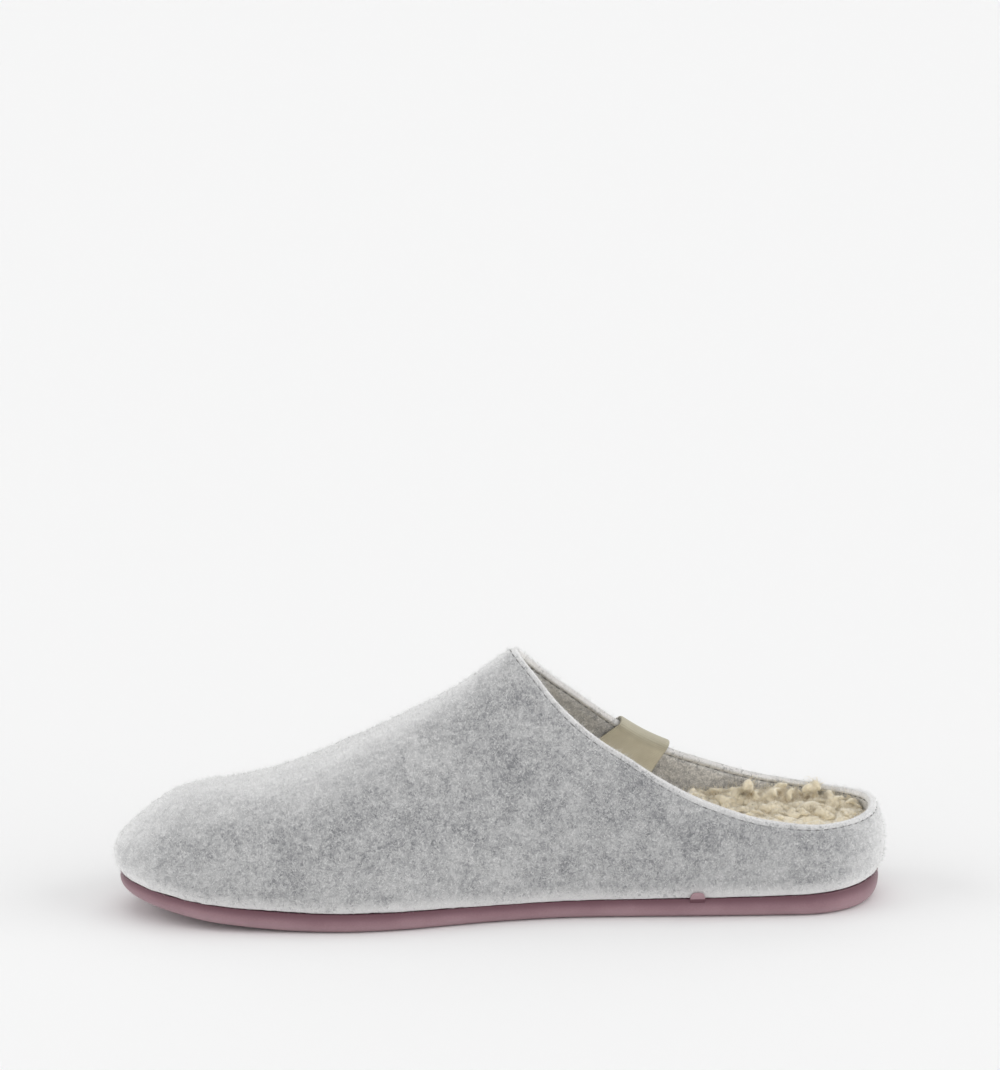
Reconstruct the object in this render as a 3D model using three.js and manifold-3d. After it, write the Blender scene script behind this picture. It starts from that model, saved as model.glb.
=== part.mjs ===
// A backless felt house slipper for the right foot, in millimetres.
// +X runs from heel to toe, +Y to the inner side of the foot, +Z up. The origin is the middle of
// the footprint, on the floor. Inside this file x is counted from the back of the heel felt.
//
// The felt is one shell. Its outer face is a loft through cross-sections: each section rises from
// its widest line, low over the sole, to a ridge. The collar is the line where a side-view curve
// cuts that face. Columns run over the face from the sole up to the collar, right round the shoe,
// and every other piece takes its place from those columns or from the sections.
import * as THREE from "three";
import { mergeVertices } from "three/addons/utils/BufferGeometryUtils.js";
import Module from "manifold-3d";

const wasm = await Module();
wasm.setup();

// Driving sizes.
const slipperLength = 261; // heel felt to toe felt
const ballWidth = 96; // felt to felt, across the ball
const instepRise = 74; // felt's widest line up to the collar's top, over the instep
const heelRise = 15.2; // felt's widest line up to the collar, at the heel
const bulgeRise = 7.6; // sole's top edge up to the felt's widest line
const feltThickness = 3;
const feltTuck = 2.2; // how far the felt draws in from its widest line down to the sole
const hemWidth = 2.8; // collar's edge to the far side of its seam
const heelRound = 30; // length over which the heel rounds off
const toeRound = 35; // length over which the toe rounds off
const heelPower = 2; // 2 rounds off as an ellipse, less draws in sooner
const toePower = 2; // in plan
const toeDropPower = 1.52; // from the side
const soleThickness = 7;
const soleInset = 1.8; // sole's edge inside the felt's widest line
const soleEdgeRound = 3.9; // how far the sole's side draws in to its flat underside
const toeSpring = 8;
const springStart = 0.71; // share of the length where the sole leaves the floor
const heelLift = 0.8;
const heelLiftReach = 12;
const pieceGap = 0.3; // clearance between pieces that touch
const footbedThickness = 17; // under the heel, pile included
const footbedClearance = 0.5; // footbed to the felt's inner face
const lockSize = 13; // length of one lock of wool
const tapeWidth = 20;
const tapeThickness = 0.9;
const tapeLegInside = 20;
const tapeLegOutside = 13;
const tapeStand = 1.2; // how far the tape's fold stands off the collar's edge, at its heel end
const tapeStandFront = 0.45; // and at its toe end
const tapePlace = 0.309; // share of the length at the tape's middle
const nubWidth = 5;
const nubRise = 2.2; // nub above the sole's top edge
const nubThickness = 0.9;
const nubPlace = 0.252; // share of the length at the nub's middle

// Cross-sections of the felt's outer face. along is a share of slipperLength. inner, outer and
// ridge are shares of ballWidth: the two halves at the widest line, and how far the ridge lies
// to the inner side of their middle. rise is a share of instepRise, and behind the collar it is
// the height that the side walls lean towards. fullness is 2 for a round top, less for a peaked one.
const sections = [
  { along: 0.0, inner: 0.354, outer: 0.354, ridge: 0.0, rise: 0.46, fullness: 2.0 },
  { along: 0.08, inner: 0.354, outer: 0.354, ridge: 0.0, rise: 0.44, fullness: 1.95 },
  { along: 0.18, inner: 0.354, outer: 0.36, ridge: 0.015, rise: 0.85, fullness: 2.1 },
  { along: 0.25, inner: 0.352, outer: 0.375, ridge: 0.027, rise: 0.93, fullness: 1.65 },
  { along: 0.34, inner: 0.345, outer: 0.4, ridge: 0.045, rise: 0.93, fullness: 1.4 },
  { along: 0.415, inner: 0.346, outer: 0.425, ridge: 0.06, rise: 0.99, fullness: 1.27 },
  { along: 0.455, inner: 0.358, outer: 0.443, ridge: 0.058, rise: 1.015, fullness: 1.25 },
  { along: 0.485, inner: 0.372, outer: 0.458, ridge: 0.066, rise: 0.982, fullness: 1.29 },
  { along: 0.515, inner: 0.388, outer: 0.472, ridge: 0.075, rise: 0.909, fullness: 1.37 },
  { along: 0.56, inner: 0.42, outer: 0.49, ridge: 0.086, rise: 0.796, fullness: 1.5 },
  { along: 0.635, inner: 0.474, outer: 0.505, ridge: 0.094, rise: 0.65, fullness: 1.7 },
  { along: 0.7, inner: 0.494, outer: 0.496, ridge: 0.093, rise: 0.539, fullness: 1.85 },
  { along: 0.76, inner: 0.486, outer: 0.462, ridge: 0.085, rise: 0.444, fullness: 1.95 },
  { along: 0.82, inner: 0.468, outer: 0.412, ridge: 0.068, rise: 0.374, fullness: 2.0 },
  { along: 0.87, inner: 0.446, outer: 0.36, ridge: 0.045, rise: 0.341, fullness: 2.0 },
  { along: 0.93, inner: 0.418, outer: 0.295, ridge: 0.018, rise: 0.336, fullness: 1.95 },
  { along: 1.0, inner: 0.4, outer: 0.25, ridge: 0.0, rise: 0.26, fullness: 1.9 },
];
const ridgeSoftness = 0.12; // rounds the ridge off, as a share of the way out to the widest line

// The collar seen from the side, on the inner and the outer side of the foot: how far it has
// climbed from heelRise, at 0, to instepRise, at 1.
const collarCurve = [
  { along: 0.0, inner: 0.0, outer: 0.0 },
  { along: 0.05, inner: 0.006, outer: 0.003 },
  { along: 0.095, inner: 0.018, outer: 0.018 },
  { along: 0.14, inner: 0.046, outer: 0.046 },
  { along: 0.18, inner: 0.084, outer: 0.088 },
  { along: 0.24, inner: 0.179, outer: 0.177 },
  { along: 0.275, inner: 0.251, outer: 0.235 },
  { along: 0.31, inner: 0.339, outer: 0.32 },
  { along: 0.34, inner: 0.427, outer: 0.419 },
  { along: 0.37, inner: 0.509, outer: 0.529 },
  { along: 0.4, inner: 0.61, outer: 0.639 },
  { along: 0.43, inner: 0.736, outer: 0.748 },
  { along: 0.455, inner: 0.868, outer: 0.852 },
  { along: 0.48, inner: 0.987, outer: 0.969 },
  { along: 0.5, inner: 1.076, outer: 1.076 },
];
const throatBetween = [0.4, 0.62]; // shares of the length that the collar's front lies between

// The sole's thickness and the footbed's, as shares of soleThickness and footbedThickness.
// pile is how far the wool stands up against the felt, as a share of footbedThickness.
const soleRows = [
  { along: 0.0, sole: 1.35, footbed: 0.9, pile: 0.2 },
  { along: 0.08, sole: 1.13, footbed: 0.96, pile: 0.2 },
  { along: 0.18, sole: 1.02, footbed: 1.0, pile: 0.24 },
  { along: 0.34, sole: 0.95, footbed: 0.96, pile: 0.18 },
  { along: 0.48, sole: 0.91, footbed: 0.84, pile: 0.1 },
  { along: 0.64, sole: 0.96, footbed: 0.68, pile: 0.06 },
  { along: 0.82, sole: 0.98, footbed: 0.56, pile: 0.04 },
  { along: 1.0, sole: 0.8, footbed: 0.44, pile: 0.02 },
];

// How many columns lie on each side between heel and toe, and the rows on each face of the felt.
const sideColumns = 36;
const outerRows = 17;
const innerRows = 12;
const rowPower = 1.5; // above 1, rows lie closer together low on the felt

// The stitched edge of the collar: a rolled bead with the seam's groove under it. fromEdge is a
// share of hemWidth, and swell a share of feltThickness, on each face.
const hemRows = [
  { fromEdge: 1, swell: 0 },
  { fromEdge: 0.7, swell: -0.17 },
  { fromEdge: 0.45, swell: -0.02 },
  { fromEdge: 0.17, swell: -0.07 },
  { fromEdge: 0, swell: -0.3 },
];

const materials = {
  upper: new THREE.MeshStandardMaterial({ color: 0xbdbdbe, roughness: 0.95, metalness: 0 }),
  outsole: new THREE.MeshStandardMaterial({ color: 0x8d6a73, roughness: 0.6, metalness: 0 }),
  footbed: new THREE.MeshStandardMaterial({ color: 0xded3b6, roughness: 1, metalness: 0 }),
  tape: new THREE.MeshStandardMaterial({ color: 0xa9a68c, roughness: 0.8, metalness: 0 }),
};

// A smooth curve through one column of a table, as a function of the share of the length.
function through(rows, key) {
  const slope = rows.map((row, i) => {
    const before = rows[Math.max(0, i - 1)];
    const after = rows[Math.min(rows.length - 1, i + 1)];
    return (after[key] - before[key]) / (after.along - before.along);
  });
  return (along) => {
    let i = 0;
    while (i < rows.length - 2 && along > rows[i + 1].along) i += 1;
    const span = rows[i + 1].along - rows[i].along;
    const t = THREE.MathUtils.clamp((along - rows[i].along) / span, 0, 1);
    const start = (1 + 2 * t) * (1 - t) ** 2 * rows[i][key] + t * (1 - t) ** 2 * span * slope[i];
    const end = t * t * (3 - 2 * t) * rows[i + 1][key] - t * t * (1 - t) * span * slope[i + 1];
    return start + end;
  };
}

const sectionCurves = Object.fromEntries(
  ["inner", "outer", "ridge", "rise", "fullness"].map((key) => [key, through(sections, key)]),
);
const collarClimb = { 1: through(collarCurve, "inner"), "-1": through(collarCurve, "outer") };
const soleShare = through(soleRows, "sole");
const footbedShare = through(soleRows, "footbed");
const pileShare = through(soleRows, "pile");

// The value between two others where a condition stops holding, found by halving.
function lastWhere(holds, from, to) {
  let [last, past] = [from, to];
  for (let step = 0; step < 48; step += 1) {
    const middle = (last + past) / 2;
    if (holds(middle)) last = middle;
    else past = middle;
  }
  return last;
}

function roundOff(distance, reach, power) {
  const left = THREE.MathUtils.clamp(1 - distance / reach, 0, 1);
  return (1 - left ** power) ** (1 / power);
}

// Height of the sole's underside and of its top edge.
function soleUnder(x) {
  const toe = Math.max(0, (x / slipperLength - springStart) / (1 - springStart));
  const heel = Math.max(0, 1 - x / heelLiftReach);
  return toeSpring * toe * toe + heelLift * heel * heel;
}

function soleTop(x) {
  return soleUnder(x) + soleThickness * soleShare(x / slipperLength);
}

// The cross-section of the felt's outer face at x.
function sectionAt(x) {
  const along = x / slipperLength;
  const heel = roundOff(x, heelRound, heelPower);
  const round = heel * roundOff(slipperLength - x, toeRound, toePower);
  const drop = heel * roundOff(slipperLength - x, toeRound, toeDropPower);
  const inner = sectionCurves.inner(along) * ballWidth;
  const outer = sectionCurves.outer(along) * ballWidth;
  const axis = (inner - outer) / 2;
  const half = ((inner + outer) / 2) * round;
  const ridge = axis + sectionCurves.ridge(along) * ballWidth * round;
  const rise = sectionCurves.rise(along) * instepRise * drop;
  const bulge = soleTop(x) + bulgeRise;
  return { axis, half, ridge, rise, bulge, fullness: sectionCurves.fullness(along) };
}

// Distance from the ridge to the widest line on one side; side is 1 for inner, -1 for outer.
function reachOf(section, side) {
  return Math.max(1e-6, section.half + side * (section.axis - section.ridge));
}

// Shares of the way out from the ridge, softened so that the ridge is round, and back again.
const softEnd = Math.hypot(1, ridgeSoftness) - ridgeSoftness;
const soften = (share) => (Math.hypot(share, ridgeSoftness) - ridgeSoftness) / softEnd;
const unsoften = (soft) => Math.sqrt((soft * softEnd + ridgeSoftness) ** 2 - ridgeSoftness ** 2);

// Height of the felt's outer face over a point of the plan.
function feltHeight(x, y) {
  const section = sectionAt(x);
  const side = y > section.ridge ? 1 : -1;
  const share = Math.min(1, Math.abs(y - section.ridge) / reachOf(section, side));
  return section.bulge + section.rise * Math.sqrt(Math.max(0, 1 - soften(share) ** section.fullness));
}

function edgePoint(x, side) {
  const section = sectionAt(x);
  return new THREE.Vector2(x, section.axis + side * section.half);
}

function collarRise(x, side) {
  return THREE.MathUtils.lerp(heelRise, instepRise, collarClimb[side](x / slipperLength));
}

// The collar at x on one side: the point of the felt's face that the collar's curve cuts.
function collarPoint(x, side) {
  const section = sectionAt(x);
  const lift = Math.min(1, collarRise(x, side) / section.rise);
  const share = unsoften((1 - lift * lift) ** (1 / section.fullness));
  const y = section.ridge + side * share * reachOf(section, side);
  return new THREE.Vector3(x, y, section.bulge + lift * section.rise);
}

// Where the collar's curve meets the ridge, behind the heel's round and over the instep.
const [throatLow, throatHigh] = throatBetween.map((along) => along * slipperLength);
const heelCollar = lastWhere((x) => collarRise(x, 1) < sectionAt(x).rise, heelRound, 0);
const throat = lastWhere((x) => collarRise(x, 1) < sectionAt(x).rise, throatLow, throatHigh);

// A line of points with its running length, and the point at a given length along it.
function measured(points) {
  const lengths = [0];
  for (let i = 1; i < points.length; i += 1)
    lengths.push(lengths[i - 1] + points[i].distanceTo(points[i - 1]));
  const total = lengths[lengths.length - 1];
  const at = (length) => {
    let i = 1;
    while (i < points.length - 1 && lengths[i] < length) i += 1;
    const t = (length - lengths[i - 1]) / (lengths[i] - lengths[i - 1]);
    return points[i - 1].clone().lerp(points[i], THREE.MathUtils.clamp(t, 0, 1));
  };
  return { points, total, at };
}

// Stations from a start to an end, close together where a round end turns.
function easedStations(start, end, count) {
  return Array.from({ length: count + 1 }, (_, i) => {
    return start + ((end - start) * (1 - Math.cos((Math.PI * i) / count))) / 2;
  });
}

const fineSteps = 240;
const outlineMiddle = measured(
  easedStations(0, slipperLength, fineSteps).map((x) => new THREE.Vector2(x, sectionAt(x).half)),
);
const collarLine = Object.fromEntries(
  [1, -1].map((side) => [
    side,
    measured(easedStations(heelCollar, throat, fineSteps).map((x) => collarPoint(x, side))),
  ]),
);

// Columns stand upright round the heel, and those over the toe gather at the collar's front.
const gather = 2.3; // how fast the collar's share runs ahead of the outline's
const gatherMix = 0.7;

function collarShare(share) {
  return gatherMix * (1 - (1 - share) ** gather) + (1 - gatherMix) * share;
}

// Columns run right round the slipper: heel, outer side, toe, inner side. Column c starts at
// this place on the outline of the felt's widest line.
const columnCount = 2 * sideColumns;

function placeOf(c) {
  const side = c <= sideColumns ? -1 : 1;
  const i = c <= sideColumns ? c : columnCount - c;
  const x = outlineMiddle.at((outlineMiddle.total * i) / sideColumns).x;
  const edge = edgePoint(x, side);
  let outward = new THREE.Vector2(Math.sign(i - 1), 0);
  if (i > 0 && i < sideColumns) {
    const step = 0.01;
    const along = edgePoint(x + step, side).sub(edgePoint(x - step, side)).normalize();
    outward = new THREE.Vector2(-side * along.y, side * along.x);
  }
  return { side, share: i / sideColumns, x, edge, outward };
}

const places = Array.from({ length: columnCount }, (_, c) => placeOf(c));

// How far the felt has drawn in at a share of the drop from its widest line down to the sole.
const lowTurn = Math.PI / 3;

function tuckAt(drop) {
  const turn = Math.asin(drop * Math.sin(lowTurn));
  return (feltTuck * (1 - Math.cos(turn))) / (1 - Math.cos(lowTurn));
}

// One column of the felt's outer face, from its lower edge on the sole up to the collar.
const lowSteps = 8;
const highSteps = 60;

function makeColumn({ side, share, edge, outward }) {
  const points = [];
  for (let k = lowSteps; k > 0; k -= 1) {
    const drop = Math.sin((lowTurn * k) / lowSteps) / Math.sin(lowTurn);
    const plan = edge.clone().addScaledVector(outward, -tuckAt(drop));
    const z = soleTop(plan.x) + bulgeRise - (bulgeRise - pieceGap) * drop;
    points.push(new THREE.Vector3(plan.x, plan.y, z));
  }
  const line = collarLine[side];
  const collar = line.at(line.total * collarShare(share));
  for (let k = 0; k < highSteps; k += 1) {
    const plan = edge.clone().lerp(collar, 1 - Math.cos((Math.PI / 2) * (k / highSteps)));
    points.push(new THREE.Vector3(plan.x, plan.y, feltHeight(plan.x, plan.y)));
  }
  points.push(collar);
  return measured(points);
}

const columns = places.map(makeColumn);

// The outer face on every column at given distances from the collar's edge, with its normals.
function faceGrid(distancesOf) {
  const points = columns.map(({ total, at }) => distancesOf(total).map((d) => at(total - d)));
  const normals = points.map((column, c) => {
    const before = points[(c + columnCount - 1) % columnCount];
    const after = points[(c + 1) % columnCount];
    return column.map((_, r) => {
      const up = column[Math.min(column.length - 1, r + 1)].clone().sub(column[Math.max(0, r - 1)]);
      return after[r].clone().sub(before[r]).cross(up).normalize();
    });
  });
  return { points, normals };
}

// Rings of points as triangles. With closed, the last ring joins the first. Otherwise the two
// end rings are closed by bars between their long sides: point k lies opposite point turn - k.
function ringGeometry(rings, closed, turn = 0) {
  const count = rings[0].length;
  const index = [];
  for (let r = 0; r < (closed ? rings.length : rings.length - 1); r += 1)
    for (let k = 0; k < count; k += 1) {
      const [low, high, next] = [r * count, ((r + 1) % rings.length) * count, (k + 1) % count];
      index.push(low + k, low + next, high + next, low + k, high + next, high + k);
    }
  const ends = closed ? [] : [0, rings.length - 1];
  for (const end of ends)
    for (let k = 0; k < count / 2 + turn; k += 1) {
      const opposite = (turn - k + count) % count;
      const bars = [k, k + 1, opposite, k + 1, (opposite - 1 + count) % count, opposite];
      for (const tri of [bars.slice(0, 3), bars.slice(3)]) {
        if (new Set(tri).size < 3) continue;
        index.push(...(end === 0 ? tri.reverse() : tri).map((n) => end * count + n));
      }
    }
  const geometry = new THREE.BufferGeometry();
  const positions = rings.flat().flatMap((p) => [p.x, p.y, p.z]);
  geometry.setAttribute("position", new THREE.Float32BufferAttribute(positions, 3));
  geometry.setIndex(index);
  return geometry;
}

// A solid for joining, from a closed geometry.
function solidOf(geometry) {
  const bare = geometry.clone();
  bare.deleteAttribute("normal");
  bare.deleteAttribute("uv");
  const merged = mergeVertices(bare, 1e-4);
  const mesh = new wasm.Mesh({
    numProp: 3,
    vertProperties: merged.attributes.position.array,
    triVerts: new Uint32Array(merged.index.array),
  });
  return new wasm.Manifold(mesh);
}

function geometryOf(solid) {
  const mesh = solid.getMesh();
  const geometry = new THREE.BufferGeometry();
  geometry.setAttribute("position", new THREE.BufferAttribute(mesh.vertProperties, 3));
  geometry.setIndex(new THREE.BufferAttribute(mesh.triVerts, 1));
  return geometry;
}

// Distances from the collar's edge at which a face's rows lie: rising ones, then the seam's.
function feltRows(count) {
  return (total) => {
    const plain = total - hemWidth;
    const rising = Array.from({ length: count }, (_, r) => total - plain * (r / count) ** rowPower);
    return rising.concat(hemRows.map((row) => row.fromEdge * hemWidth));
  };
}

// The felt shell: up its outer face, over the stitched edge and down its inner face.
function makeUpper() {
  const ringsOf = (face, rows, depthAt) =>
    Array.from({ length: rows + hemRows.length }, (_, r) => {
      const depth = depthAt(r < rows ? 0 : hemRows[r - rows].swell * feltThickness);
      return face.points.map((column, c) =>
        column[r].clone().addScaledVector(face.normals[c][r], -depth),
      );
    });
  const outer = ringsOf(faceGrid(feltRows(outerRows)), outerRows, (swell) => -swell);
  const inner = ringsOf(faceGrid(feltRows(innerRows)), innerRows, (swell) => feltThickness + swell);
  inner[0].forEach((point, c) => {
    point.z = outer[0][c].z;
  });
  return ringGeometry([...outer, ...inner.reverse()], true);
}

// The sole's side, from its flat underside up: a share of the edge's round and of the thickness.
const soleSide = [
  { drawnIn: 1, up: 0 },
  { drawnIn: 0.62, up: 0.06 },
  { drawnIn: 0.3, up: 0.19 },
  { drawnIn: 0.1, up: 0.38 },
  { drawnIn: 0.02, up: 0.64 },
  { drawnIn: 0.06, up: 1 },
];

function makeSoleSlab() {
  const rings = soleSide.map((row) =>
    places.map(({ edge, outward }) => {
      const inset = soleInset + soleEdgeRound * row.drawnIn;
      const { x, y } = edge.clone().addScaledVector(outward, -inset);
      return new THREE.Vector3(x, y, THREE.MathUtils.lerp(soleUnder(x), soleTop(x), row.up));
    }),
  );
  return solidOf(ringGeometry(rings, false));
}

// A small plain nub on the inner side, moulded with the sole and standing up over the felt.
// Each stop of its profile has a share of its width and of its height.
const nubProfile = [
  { across: -0.5, high: 0.1 },
  { across: -0.42, high: 0.7 },
  { across: -0.25, high: 1 },
  { across: 0.25, high: 1 },
  { across: 0.42, high: 0.7 },
  { across: 0.5, high: 0.1 },
];
const nubRoot = 3; // how far its foot runs down the sole's side
const nubBite = 0.8; // how far its foot sinks into the sole

function makeNub() {
  const rings = nubProfile.map(({ across, high }) => {
    const x = nubPlace * slipperLength + across * nubWidth;
    const edge = edgePoint(x, 1).y;
    const foot = edge - soleInset;
    const point = (y, level) => new THREE.Vector3(x, y, soleTop(x) + level);
    // The felt's face moved out, from its foot up to the nub's top.
    const skin = (stand) => {
      const levels = [0, 0.5, 1].map((share) => pieceGap + share * high * nubRise);
      const drops = levels.map((level) => 1 - (level - pieceGap) / (bulgeRise - pieceGap));
      const raised = levels.map((level, n) => point(edge - tuckAt(drops[n]) + stand, level));
      return [point(edge - feltTuck + stand, 0), ...raised];
    };
    const front = [point(foot - nubBite, -nubRoot), point(foot + nubThickness / 8, -nubBite)];
    const back = [point(foot - 2 * nubBite, -nubRoot), point(foot - 2 * nubBite, -nubBite)];
    return [...front, ...skin(pieceGap + nubThickness), ...[...back, ...skin(pieceGap)].reverse()];
  });
  return solidOf(ringGeometry(rings, false, -1));
}

// The footbed: a firm base with deep wool pile, which stands higher along the felt. Its rows
// close in from the felt to a line down the middle; sink is how far a row lies under the pile,
// as a share of footbedThickness.
const woolRows = [
  { share: 0, sink: 0.19 },
  { share: 0.06, sink: 0.05 },
  { share: 0.15, sink: 0 },
  { share: 0.32, sink: 0 },
  { share: 0.55, sink: 0 },
  { share: 0.8, sink: 0 },
  { share: 0.95, sink: 0 },
];
const woolRimReach = 0.75; // share of the way in over which the pile falls from the felt
const woolRipple = 0.05; // its ripples, as a share of footbedThickness
const spineEnds = [0.09, 0.91]; // where the middle line starts and ends, as shares of the length

// Crossing waves of the wool's surface, each with its radians along x and y over slipperLength.
const woolWaves = [
  { alongX: 138, alongY: 55 },
  { alongX: -47, alongY: 159 },
  { alongX: 70, alongY: 102 },
];

function ripple(x, y) {
  const heights = woolWaves.map((wave) =>
    Math.sin((wave.alongX * x + wave.alongY * y) / slipperLength),
  );
  return heights.reduce((sum, height) => sum + height, 0) / heights.length;
}

// Height of the wool over a point, with share 0 at the felt and 1 at the middle line.
function woolTop(x, y, share) {
  const along = x / slipperLength;
  const pile = pileShare(along) * Math.max(0, 1 - share / woolRimReach) ** 2;
  return soleTop(x) + footbedThickness * (footbedShare(along) + pile + woolRipple * ripple(x, y));
}

// A point beside the felt's inner face, on column c at a height, with the footbed's clearance.
function besideFelt(c, z) {
  const { at, total } = columns[c];
  const length = lastWhere((l) => at(l).z < z, 0, total);
  const up = at(length + 1).sub(at(length - 1)).normalize();
  const inset = (feltThickness + footbedClearance) / up.z;
  const { x, y } = at(length);
  return new THREE.Vector2(x, y).addScaledVector(places[c].outward, -inset);
}

// A point on top of the wool, at a share of the way in from the felt on column c.
function woolPoint(c, share, sink) {
  const { x } = places[c];
  const rim = woolTop(x, places[c].edge.y, 0) - woolRows[0].sink * footbedThickness;
  const spineX = slipperLength * THREE.MathUtils.lerp(...spineEnds, x / slipperLength);
  const spine = new THREE.Vector2(spineX, sectionAt(spineX).axis);
  const plan = besideFelt(c, rim).lerp(spine, share);
  return new THREE.Vector3(plan.x, plan.y, woolTop(plan.x, plan.y, share) - sink);
}

function makeFootbed() {
  const overColumns = (pointOf) => columns.map((_, c) => pointOf(c));
  const sides = [0, 0.5].map((share) =>
    overColumns((c) => {
      const plan = besideFelt(c, columns[c].points[0].z + share * bulgeRise);
      return new THREE.Vector3(plan.x, plan.y, soleTop(plan.x) + pieceGap + share * bulgeRise);
    }),
  );
  const top = woolRows.map(({ share, sink }) =>
    overColumns((c) => woolPoint(c, share, sink * footbedThickness)),
  );
  return solidOf(ringGeometry([...sides, ...top], false));
}

// One lock of wool: a bent drop, thick at its root, lying over the pile at an angle. Its shape
// is in shares of its length.
const lockShape = { half: 0.5, wide: 0.27, thick: 0.2, taper: 0.4, bend: 0.14, tip: 0.04 };

function makeLock(at, turn, size) {
  const geometry = new THREE.SphereGeometry(1, 7, 5);
  const position = geometry.attributes.position;
  for (let n = 0; n < position.count; n += 1) {
    const [x, y, z] = [position.getX(n), position.getY(n), position.getZ(n)];
    const taper = 1 - lockShape.taper * x;
    const across = lockShape.wide * y * taper + lockShape.bend * x * x;
    const high = lockShape.thick * z * taper + lockShape.tip * x;
    position.setXYZ(n, lockShape.half * x, across, high);
  }
  geometry.scale(size, size, size);
  geometry.rotateZ(turn);
  geometry.translate(at.x, at.y, at.z);
  return solidOf(geometry);
}

// Locks lie all over the wool that shows behind the collar, turned by the golden angle. Their
// size and sink are shares of lockSize.
const lockEnd = 0.46; // share of the length where the locks stop
const lockSink = 0.1;
const lockRows = [
  { share: 0.3, size: 0.9 },
  { share: 0.46, size: 1.05 },
  { share: 0.76, size: 1.0 },
];
const lockSpread = 0.15; // how much the locks differ in size
const goldenAngle = Math.PI * (3 - Math.sqrt(5));

function makeInsole() {
  let wool = makeFootbed();
  let count = 0;
  lockRows.forEach(({ share, size }, row) => {
    for (let c = row % 2; c < columnCount; c += 2) {
      if (places[c].x > lockEnd * slipperLength) continue;
      count += 1;
      const turn = count * goldenAngle;
      const long = size * lockSize * (1 + lockSpread * Math.sin(turn));
      wool = wool.add(makeLock(woolPoint(c, share, lockSink * lockSize), turn, long));
    }
  });
  return geometryOf(wool);
}

// A point of the felt's outer face, at a place between the columns and a distance from the edge.
function onFelt(place, distance) {
  const before = Math.floor(place);
  const [a, b] = [before, before + 1].map((c) => columns[c % columnCount]);
  return a.at(a.total - distance).lerp(b.at(b.total - distance), place - before);
}

// The place between the columns of a distance along the outer side's collar.
function placeAlongCollar(distance) {
  const total = collarLine[-1].total;
  return sideColumns * lastWhere((share) => total * collarShare(share) < distance, 0, 1);
}

// The tape's path up from inside, over the collar's edge and down outside. down is the distance
// from the edge, and out is how far the tape's middle lies outside the felt's outer face.
function tapePath(stand) {
  const flat = pieceGap + tapeThickness / 2;
  const pastSeam = hemWidth + tapeThickness;
  const foldSteps = 6;
  const fold = Array.from({ length: foldSteps + 1 }, (_, n) => {
    const angle = Math.PI * (1 - n / foldSteps);
    return {
      down: -(stand + tapeThickness / 2) * Math.sin(angle),
      out: (feltThickness / 2 + flat) * Math.cos(angle) - feltThickness / 2,
    };
  });
  return [
    { down: tapeLegInside, out: -feltThickness - flat },
    { down: (tapeLegInside + pastSeam) / 2, out: -feltThickness - flat },
    { down: pastSeam, out: -feltThickness - flat },
    { down: pastSeam / 2, out: -feltThickness - flat },
    ...fold,
    { down: pastSeam / 2, out: flat },
    { down: pastSeam, out: flat },
    { down: tapeLegOutside, out: flat },
  ];
}

function tapeSection(stand) {
  const path = tapePath(stand);
  const skins = [1, -1].map((face) =>
    path.map((stop, n) => {
      const before = path[Math.max(0, n - 1)];
      const after = path[Math.min(path.length - 1, n + 1)];
      const along = new THREE.Vector2(after.out - before.out, before.down - after.down).normalize();
      const half = (face * tapeThickness) / 2;
      return { down: stop.down - half * along.x, out: stop.out - half * along.y };
    }),
  );
  return [...skins[0], ...skins[1].reverse()];
}

function makeTape() {
  const collar = collarLine[-1];
  const middle = lastWhere((l) => collar.at(l).x < tapePlace * slipperLength, 0, collar.total);
  const [first, last] = [-0.5, 0.5].map((share) => placeAlongCollar(middle + share * tapeWidth));
  const step = 0.25; // the least distance between stations, in columns
  const stations = [first];
  for (let c = Math.ceil(first + step); c < last - step; c += 1) stations.push(c);
  stations.push(last);
  const rings = stations.map((place) => {
    const forward = (place - first) / (last - first);
    const stand = THREE.MathUtils.lerp(tapeStand, tapeStandFront, forward);
    return tapeSection(stand).map(({ down, out }) => {
      const distance = Math.max(down, 0);
      const across = onFelt(place + step, distance).sub(onFelt(place - step, distance));
      const up = onFelt(place, distance).sub(onFelt(place, distance + 1)).normalize();
      const outward = across.cross(up).normalize();
      const over = Math.max(-down, 0);
      return onFelt(place, distance).addScaledVector(up, over).addScaledVector(outward, out);
    });
  });
  return ringGeometry(rings, false, -1);
}

function named(name, geometry, material) {
  const mesh = new THREE.Mesh(geometry, material);
  mesh.name = name;
  return mesh;
}

const slipper = new THREE.Group();
slipper.add(named("upper", makeUpper(), materials.upper));
slipper.add(named("outsole", geometryOf(makeSoleSlab().add(makeNub())), materials.outsole));
slipper.add(named("insole", makeInsole(), materials.footbed));
slipper.add(named("tab", makeTape(), materials.tape));

// The origin: the middle of the whole slipper's box, at its lowest point.
const { min, max } = new THREE.Box3().setFromObject(slipper);
slipper.position.set(-(min.x + max.x) / 2, -(min.y + max.y) / 2, -min.z);

export default slipper;
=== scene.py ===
import math

import bpy
import numpy as np
from mathutils import Matrix, Vector, noise
from mathutils.bvhtree import BVHTree


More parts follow.
